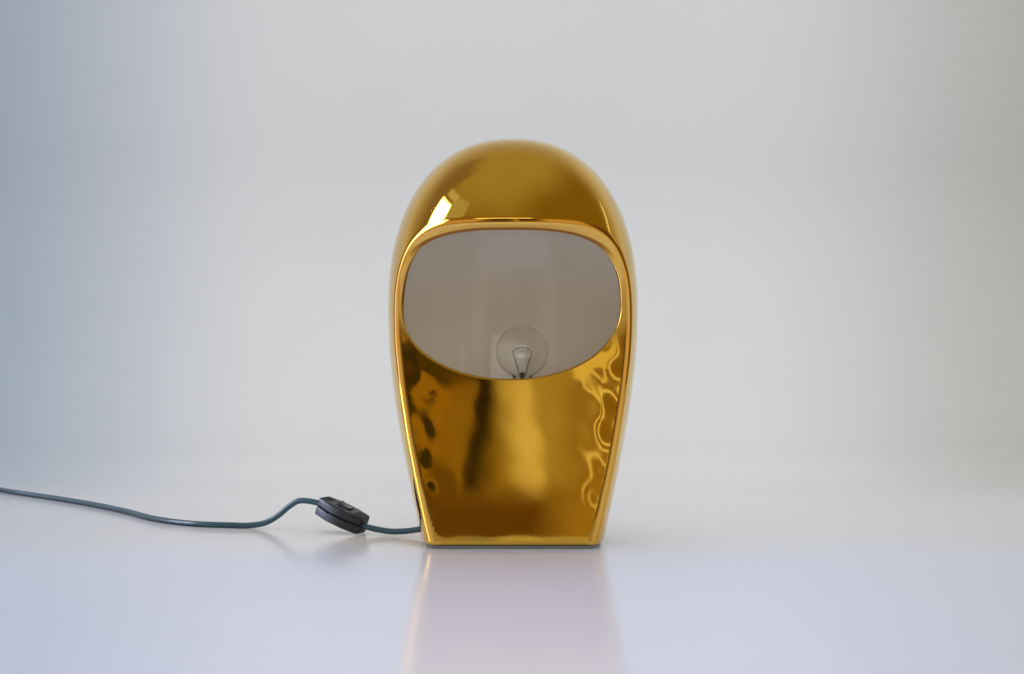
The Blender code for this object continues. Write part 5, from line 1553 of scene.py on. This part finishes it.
def lozenge(name, low, high):
    """Prism with the switch's outline, widest in the middle."""
    end = SWITCH_LENGTH / 2
    flat = SWITCH_FLAT / 2
    wide = SWITCH_WIDTH / 2
    narrow = SWITCH_END_WIDTH / 2
    return prism(name, (
        (flat, -wide), (-flat, -wide), (-end, -narrow), (-end, narrow),
        (-flat, wide), (flat, wide), (end, narrow), (end, -narrow)), low, high)


class LAMP_OT_switch(bpy.types.Operator):
    """Make the in-line switch: two shells, grip ribs, rocker and screws"""

    bl_idname = "lamp.switch"
    bl_label = "In-line Switch"

    def execute(self, context):
        place, _along = switch_place()
        gap = CLEARANCE / 2
        bores = []
        wells = []
        for side in (-1, 1):
            bores.append(rough_object(
                "flex_bore", rod("flex_bore", FLEX_RADIUS + CLEARANCE, FLEX_GRIP),
                Matrix.Translation((side * SWITCH_LENGTH / 2, 0, 0)) @ QUARTER_TURN))
            wells.append(rough_object("screw_well", rod(
                "screw_well", SCREW_RADIUS + CLEARANCE, SCREW_LENGTH, 40,
                (side * SCREW_SPACING / 2, 0, -gap - SWITCH_LOWER))))
        slot_size = (ROCKER_LENGTH + 2 * ROCKER_PLAY, ROCKER_WIDTH + 2 * CLEARANCE, 4 * SWITCH_UPPER)
        slot = rough_object("rocker_slot", box_mesh("rocker_slot", slot_size, (0, 0, SWITCH_UPPER)))
        soften(slot, SLOT_SOFTNESS, 3)

        parts = []
        for name, low, high, node, cutters in (
                ("switch_top", gap, gap + SWITCH_UPPER, "switch_upper_shell", (slot,)),
                ("switch_bottom", -gap - SWITCH_LOWER, -gap, "switch_lower_shell", wells)):
            made = rough_object(name + "_rough", lozenge(name, low, high))
            soften(made, SWITCH_SOFTNESS, 5)
            for cutter in (*bores, *cutters):
                take_away(made, cutter)
            mesh = settled(made)
            mesh.transform(place)
            place_piece(name, polish(mesh, 38), "lamp", ("switch_plastic",), (node,))
            parts.append(name)
        for cutter in (*bores, *wells, slot):
            bpy.data.objects.remove(cutter)

        for side, name in ((1, "switch_grip_lamp"), (-1, "switch_grip_mains")):
            bars = grown(
                name, bar_tree, "switch_plastic", Count=context.scene.lamp_flex.grip_ribs,
                Start=(side * (SWITCH_LENGTH / 2 - GRIP_INSET), 0.0, gap + SWITCH_UPPER),
                Step=(-side * GRIP_STEP, 0.0, 0.0), Length=GRIP_LENGTH, Thickness=GRIP_THICKNESS)
            bars.transform(place)
            place_piece(name, face_out(bars), "lamp", ("switch_plastic",))
            parts.append(name)
        parts.append(self.rocker(place, gap))
        screws = ("switch_screw_lamp", "switch_screw_mains")
        dress_nodes("zinc_steel", *screws)
        parts += ["rocker_pin", "contact_lamp", "contact_mains", *screws]
        context.scene["switch_parts"] = " ".join(parts)
        return {"FINISHED"}

    @staticmethod
    def rocker(place, gap):
        """Dished rocker with soft edges on its pivot."""
        crest = [(ROCKER_LENGTH / 2 * share, ROCKER_RISE - ROCKER_DISH * (1 - share**2))
                 for share in np.linspace(1, -1, 25)]
        underside = -ROCKER_PIVOT / 2
        outline = [(-ROCKER_FOOT / 2, underside), (ROCKER_FOOT / 2, underside), *crest]
        mesh = prism("switch_button", outline, -ROCKER_WIDTH / 2, ROCKER_WIDTH / 2)
        mesh.transform(Matrix.Rotation(math.pi / 2, 4, "X"))
        made = rough_object("rough_button", mesh)
        soften(made, ROCKER_SOFTNESS, 3, 30)
        mesh = settled(made)
        tilt = Matrix.Rotation(ROCKER_TILT, 4, "Y")
        mesh.transform(place @ Matrix.Translation((0, 0, gap + ROCKER_PIVOT)) @ tilt)
        return place_piece("switch_button", polish(mesh, 40), "rocker",
                           ("rocker_gloss",), ("switch_rocker",)).name


class LAMP_OT_plug(bpy.types.Operator):
    """Make the plug, its ribbed boot and pins, and the tie round the coil"""

    bl_idname = "lamp.plug"
    bl_label = "Plug and Tie"

    def execute(self, context):
        lay, _bend, _mouth, _aim = plug_place()
        upright = lay @ QUARTER_TURN
        rear = BOOT_LENGTH + CLEARANCE
        front = rear + PLUG_LENGTH
        shoulder = rear + PLUG_TAPER
        wide = PLUG_WIDTH / 2
        narrow = PLUG_REAR_WIDTH / 2
        made = rough_object("rough_plug", prism("plug_housing", (
            (rear, narrow), (shoulder, wide), (front, wide), (front, -wide), (shoulder, -wide),
            (rear, -narrow)), -PLUG_HEIGHT / 2, PLUG_HEIGHT / 2))
        soften(made, PLUG_SOFTNESS, 6)
        mesh = settled(made)
        mesh.transform(lay)
        place_piece("plug_housing", polish(mesh, 45), "lamp", ("switch_plastic",),
                    ("plug_body",))

        bore = FLEX_RADIUS + CLEARANCE
        sleeve = (
            (BOOT_RADIUS - 0.0006, BOOT_LENGTH), (BOOT_END_RADIUS - 0.0005, 0.0004),
            (BOOT_END_RADIUS - 0.0008, 0), (bore, 0), (bore, BOOT_LENGTH))
        mesh = lathe("plug_relief", sleeve, 64, (0, 0, 0))
        mesh.transform(upright)
        place_piece("plug_relief", mesh, "lamp", ("black_rubber",), ("plug_boot",))
        count = context.scene.lamp_flex.boot_ribs
        hoops = grown(
            "plug_ribs", hoop_tree, "black_rubber", Count=count, Start=BOOT_MARGIN,
            Step=(BOOT_LENGTH - 2 * BOOT_MARGIN) / max(1, count - 1), Thickness=HOOP_THICKNESS,
            First_Radius=BOOT_END_RADIUS - 0.0004, Last_Radius=BOOT_RADIUS - 0.0007)
        hoops.transform(upright)
        place_piece("plug_ribs", face_out(hoops), "lamp", ("black_rubber",))

        parts = ["plug_housing", "plug_relief", "plug_ribs"]
        inner = -PIN_SEAT + CLEARANCE
        sleeved = PIN_RADIUS - 0.00012
        pin = [
            (0, PIN_LENGTH), (0.0009, PIN_LENGTH - 0.0001), (0.0016, PIN_LENGTH - 0.0006),
            (PIN_RADIUS, PIN_LENGTH - 0.0018), (PIN_RADIUS, PIN_BARE), (sleeved, PIN_BARE),
            (sleeved, inner), (0, inner)]
        for side, name in ((-1, "right"), (1, "left")):
            mesh = lathe("plug_contact_" + name, pin, 40, (0, 0, 0), 30)
            in_sleeve = [int(face.center.z < PIN_BARE - 1e-5) for face in mesh.polygons]
            mesh.polygons.foreach_set("material_index", in_sleeve)
            mesh.transform(lay @ Matrix.Translation((front, side * PIN_SPACING / 2, 0)) @ QUARTER_TURN)
            place_piece("plug_contact_" + name, mesh, "lamp",
                        ("nickel_plate", "switch_plastic"), ("plug_pin_" + name,))
            parts.append("plug_contact_" + name)
        parts.append(self.tie())
        context.scene["plug_parts"] = " ".join(parts)
        return {"FINISHED"}

    @staticmethod
    def tie():
        """Soft strap round the coil's turns."""
        low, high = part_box("coil_tie")
        sides = [coil_point(TIE_TURN + whole) for whole in range(math.ceil(COIL_TURNS - TIE_TURN))]
        heading = Vector((math.cos(COIL_HEADING), math.sin(COIL_HEADING), 0))
        outermost = COIL_RADIUS + COIL_PITCH * COIL_TURNS / 4
        centre = COIL_START + Vector((-heading.y, heading.x, 0)) * outermost
        outwards = (sides[0] - centre).xy.normalized()
        reaches = [(side - centre).xy.length for side in sides]
        thick = TIE_THICKNESS / 2
        margin = FLEX_RADIUS + 3 * CLEARANCE + thick
        inner, outer = min(reaches) - margin, max(reaches) + margin
        bottom, top = low.z + thick, high.z - thick
        turns = np.linspace(0, math.tau, 96, endpoint=False)
        round_way = np.column_stack((np.cos(turns), np.sin(turns)))
        round_way = np.sign(round_way) * np.abs(round_way)**TIE_SQUARENESS
        loop = np.array((inner + outer, bottom + top)) / 2
        loop = loop + round_way * np.array((outer - inner, top - bottom)) / 2
        edge = np.roll(loop, -1, axis=0) - np.roll(loop, 1, axis=0)
        normal = np.column_stack((edge[:, 1], -edge[:, 0]))
        normal = normal / np.linalg.norm(normal, axis=1, keepdims=True)
        rings = []
        for shift, across in ((1, -0.46), (1, 0.46), (0.6, 0.5), (-0.6, 0.5), (-1, 0.46), (-1, -0.46),
                              (-0.6, -0.5), (0.6, -0.5)):
            flat = loop + normal * thick * shift
            rings.append(np.column_stack((flat, np.full(len(flat), across * TIE_WIDTH))))
        mesh = skin("coil_strap", rings, closed=True)
        place = Matrix.Translation(centre) @ Matrix.Rotation(math.atan2(outwards.y, outwards.x), 4, "Z")
        mesh.transform(place @ Matrix.Rotation(math.pi / 2, 4, "X"))
        strap = polish(face_out(mesh), 45)
        return place_piece("coil_strap", strap, "lamp", ("tie_strap",), ("coil_tie",)).name


def stage_material(looks):
    """Satin table that fades into a painted backdrop, with painted shade that makes it a little darker to
    both sides for camera rays.
    """
    made, tree, shader, place = start_material("pale_sweep", IOR=1.25)
    x, y, _z = add_node(tree, "ShaderNodeSeparateXYZ", {0: place}).outputs
    ground = blend(tree, smooth_step(tree, y, -0.14, 0.06), looks.floor, FLOOR_MIDDLE)
    ground = blend(tree, smooth_step(tree, y, 0.10, 0.75), ground, looks.wall)
    distance = calc(tree, "MAXIMUM", calc(tree, "SUBTRACT", y, FAN_START), 0.1)
    fan = calc(tree, "DIVIDE", x, distance)
    seen = add_node(tree, "ShaderNodeLightPath").outputs["Is Camera Ray"]
    depth = calc(tree, "MULTIPLY", smooth_step(tree, y, -0.5, 0.7, 0.55, 1.0), seen)
    # Painted shade: the table and backdrop darken towards both sides, as the camera sees them.
    for begin, full, shade in PAINTED_SIDE_SHADE:
        share = calc(tree, "MULTIPLY", smooth_step(tree, fan, begin, full), depth)
        ground = blend(tree, share, ground, shade, "MULTIPLY")
    cloud = drift(tree, place, 2.5, 0.0, 0.06)
    ground = blend(tree, cloud, ground, (0.5, 0.5, 0.5), "MULTIPLY")
    feed(shader, Base_Color=ground, Roughness=smooth_step(tree, y, 0.2, 0.9, 0.15, 0.75))

    behind = add_node(tree, "ShaderNodeNewGeometry").outputs["Backfacing"]
    clear = add_node(tree, "ShaderNodeBsdfTransparent")
    surface = add_node(tree, "ShaderNodeMixShader", {
        0: calc(tree, "MULTIPLY", behind, seen), 1: shader.outputs[0], 2: clear.outputs[0]})
    feed(tree.nodes["Material Output"], Surface=surface.outputs[0])
    return made


def sweep_mesh():
    """Table top that curves up into a backdrop well behind the lamp."""
    front, bend, rise, radius, half_width = -0.75, 1.05, 1.1, 0.5, 1.7
    profile = [(y, 0.0) for y in np.linspace(front, bend, 24)]
    for turn in np.linspace(0, math.pi / 2, 24)[1:]:
        profile.append((bend + radius * math.sin(turn), radius * (1 - math.cos(turn))))
    profile.append((bend + radius, rise))
    rows = np.array([[(x, y, z) for x in np.linspace(-half_width, half_width, 25)] for y, z in profile])
    count, width = rows.shape[:2]
    corners = [row * width + column for row in range(count - 1) for column in range(width - 1)]
    faces = [(corner, corner + 1, corner + width + 1, corner + width) for corner in corners]
    mesh = bpy.data.meshes.new("pale_sweep")
    mesh.from_pydata(rows.reshape(-1, 3).tolist(), [], faces)
    mesh.shade_smooth()
    return mesh


def room_world():
    """Even light for the scene, and a room for its mirrors: dim in front, pale behind, with windows."""
    world = bpy.data.worlds.new("quiet_room")
    bpy.context.scene.world = world
    world.use_nodes = True
    tree = world.node_tree
    direction = add_node(tree, "ShaderNodeTexCoord").outputs["Generated"]
    x, y, z = add_node(tree, "ShaderNodeSeparateXYZ", {0: direction}).outputs
    turn = calc(tree, "ARCTAN2", x, calc(tree, "MULTIPLY", y, -1.0))

    def band(value, begin, full, level, gone):
        """Rise from begin to full, stay, and fall from level to gone."""
        return calc(tree, "MULTIPLY", smooth_step(tree, value, begin, full),
                    smooth_step(tree, value, gone, level))

    def patch(across, upright, lean=0.0):
        """Soft-edged field of directions that may lean as it rises."""
        place = calc(tree, "SUBTRACT", turn, calc(tree, "MULTIPLY", z, lean)) if lean else turn
        return calc(tree, "MULTIPLY", band(place, *across), band(z, *upright))

    def lay(room, fields):
        """Lay fields over a room, one after the other."""
        for colour, *extent in fields:
            room = blend(tree, patch(*extent), room, colour)
        return room

    room = blend(tree, smooth_step(tree, z, 0.02, 0.12), (0.30, 0.20, 0.04), (0.25, 0.17, 0.05))
    room = blend(tree, smooth_step(tree, z, 0.40, 0.95), room, (0.40, 0.36, 0.22))
    room = lay(room, DIM_FIELDS)
    leaves = add_node(tree, "ShaderNodeTexNoise", {
        "Vector": direction, "Scale": 130.0, "Detail": 6.0, "Roughness": 0.75}).outputs[0]
    ragged = calc(tree, "SUBTRACT", turn, calc(tree, "MULTIPLY", leaves, 0.05))
    amber = blend(tree, smooth_step(tree, z, 0.055, 0.015), (0.32, 0.20, 0.03), (0.16, 0.10, 0.02))
    foliage = blend(tree, smooth_step(tree, ragged, -0.085, -0.091), amber, (0.045, 0.036, 0.012))
    room = lay(room, ((foliage, (-0.30, -0.10, -0.040, -0.034), (0.0, 0.01, 0.12, 0.30)), *FRONT_FIELDS))

    low = calc(tree, "MULTIPLY", smooth_step(tree, z, 0.022, 0.0), band(turn, -1.0, -0.7, 0.7, 1.0))
    right = smooth_step(tree, turn, 0.012, 0.040)
    room = blend(tree, low, room, blend(tree, right, (0.13, 0.075, 0.015), (0.36, 0.27, 0.09)))
    aside = calc(tree, "ABSOLUTE", turn)
    level = band(z, -0.25, -0.12, 0.20, 0.40)
    for colour, reach in SIDE_FIELDS:
        room = blend(tree, calc(tree, "MULTIPLY", band(aside, *reach), level), room, colour)
    daylight = blend(tree, smooth_step(tree, z, 0.0, 0.12), (1.3, 1.3, 3.4), (9.0, 9.5, 13.0))
    room = lay(room, ((daylight, (-1.76, -1.66, -1.32, -1.18), (-0.25, -0.14, 0.42, 0.46)),))
    pale = blend(tree, smooth_step(tree, z, 0.40, 0.85), (0.62, 0.62, 0.60), (0.47, 0.44, 0.42))
    room = lay(blend(tree, smooth_step(tree, y, 0.26, 0.74), room, pale), WINDOW_FIELDS)
    mirrored = add_node(tree, "ShaderNodeLightPath").outputs["Is Glossy Ray"]
    feed(tree.nodes["Background"], Color=blend(tree, mirrored, (0.78, 0.78, 0.78), room))


def add_light(name, place, aim, size, power):
    """Rectangular soft light that no camera and no mirror sees."""
    data = bpy.data.lights.new(name, "AREA")
    data.shape = "RECTANGLE"
    data.size, data.size_y = size
    data.energy = power
    made = bpy.data.objects.new(name, data)
    bpy.context.scene.collection.objects.link(made)
    made.location = place
    made.rotation_euler = (Vector(aim) - Vector(place)).to_track_quat("-Z", "Y").to_euler()
    made.visible_camera = False
    made.visible_glossy = False


class LAMP_OT_stage(bpy.types.Operator):
    """Set the floor, backdrop, lights and camera"""

    bl_idname = "lamp.stage"
    bl_label = "Stage"

    def execute(self, context):
        looks = context.scene.lamp_stage
        sweep = rough_object("pale_sweep", sweep_mesh())
        sweep.data.materials.append(stage_material(looks))
        room_world()
        add_light("ceiling", (0, 0.2, 2.3), (0, 0.2, 0), (2.6, 2.6), 17.0)
        add_light("front_fill", (0.2, -2.4, 1.0), (0, 0, 0.2), (1.6, 1.2), 11.0)

        camera = bpy.data.cameras.new("camera")
        camera.lens = looks.lens
        camera.sensor_width = 36
        eye = bpy.data.objects.new("camera", camera)
        context.scene.collection.objects.link(eye)
        eye.location = looks.eye
        eye.rotation_euler = (math.pi / 2, 0, 0)
        context.scene.camera = eye
        context.scene.view_settings.view_transform = "Standard"
        return {"FINISHED"}


class LAMP_PT_sidebar(bpy.types.Panel):
    """Lists the lamp's pieces and their looks"""

    bl_idname = "LAMP_PT_sidebar"
    bl_label = "Helmet Table Lamp"
    bl_space_type = "VIEW_3D"
    bl_region_type = "UI"
    bl_category = "Lamp"

    def draw(self, context):
        scene = context.scene
        groups = (
            (scene.lamp_stage, ("floor", "wall", "lens", "eye"), ("lamp.stage",)),
            (scene.lamp_body, ("gold", "thin_gold", "gloss", "inside", "rim", "ripple"),
             ("lamp.body", "lamp.base")),
            (scene.lamp_bulb, ("thread_pitch", "thread_depth", "filament_turns", "holder_ribs"),
             ("lamp.holder", "lamp.bulb")),
            (scene.lamp_flex, ("flex", "plastic", "boot_ribs", "grip_ribs"),
             ("lamp.switch", "lamp.plug", "lamp.flex")))
        for looks, fields, operators in groups:
            column = self.layout.column(align=True)
            for field in fields:
                column.prop(looks, field)
            for operator in operators:
                column.operator(operator)


CLASSES = (
    BodyLooks, BulbLooks, FlexLooks, StageLooks, LAMP_OT_stage, LAMP_OT_body, LAMP_OT_base, LAMP_OT_holder,
    LAMP_OT_bulb, LAMP_OT_switch, LAMP_OT_plug, LAMP_OT_flex, LAMP_PT_sidebar)
LOOKS = {"lamp_body": BodyLooks, "lamp_bulb": BulbLooks, "lamp_flex": FlexLooks, "lamp_stage": StageLooks}


def register():
    """Add the classes and hang their looks on the scene."""
    for each in CLASSES:
        bpy.utils.register_class(each)
    for name, group in LOOKS.items():
        setattr(bpy.types.Scene, name, bpy.props.PointerProperty(type=group))


def unregister():
    """Take the looks and the classes away again."""
    for name in LOOKS:
        delattr(bpy.types.Scene, name)
    for each in reversed(CLASSES):
        bpy.utils.unregister_class(each)


def main():
    """Build the stage and every piece."""
    register()
    bpy.ops.lamp.stage()
    bpy.ops.lamp.switch()
    bpy.ops.lamp.plug()
    bpy.ops.lamp.flex()
    bpy.ops.lamp.body()
    bpy.ops.lamp.base()
    bpy.ops.lamp.holder()
    bpy.ops.lamp.bulb()


if __name__ == "__main__":
    main()
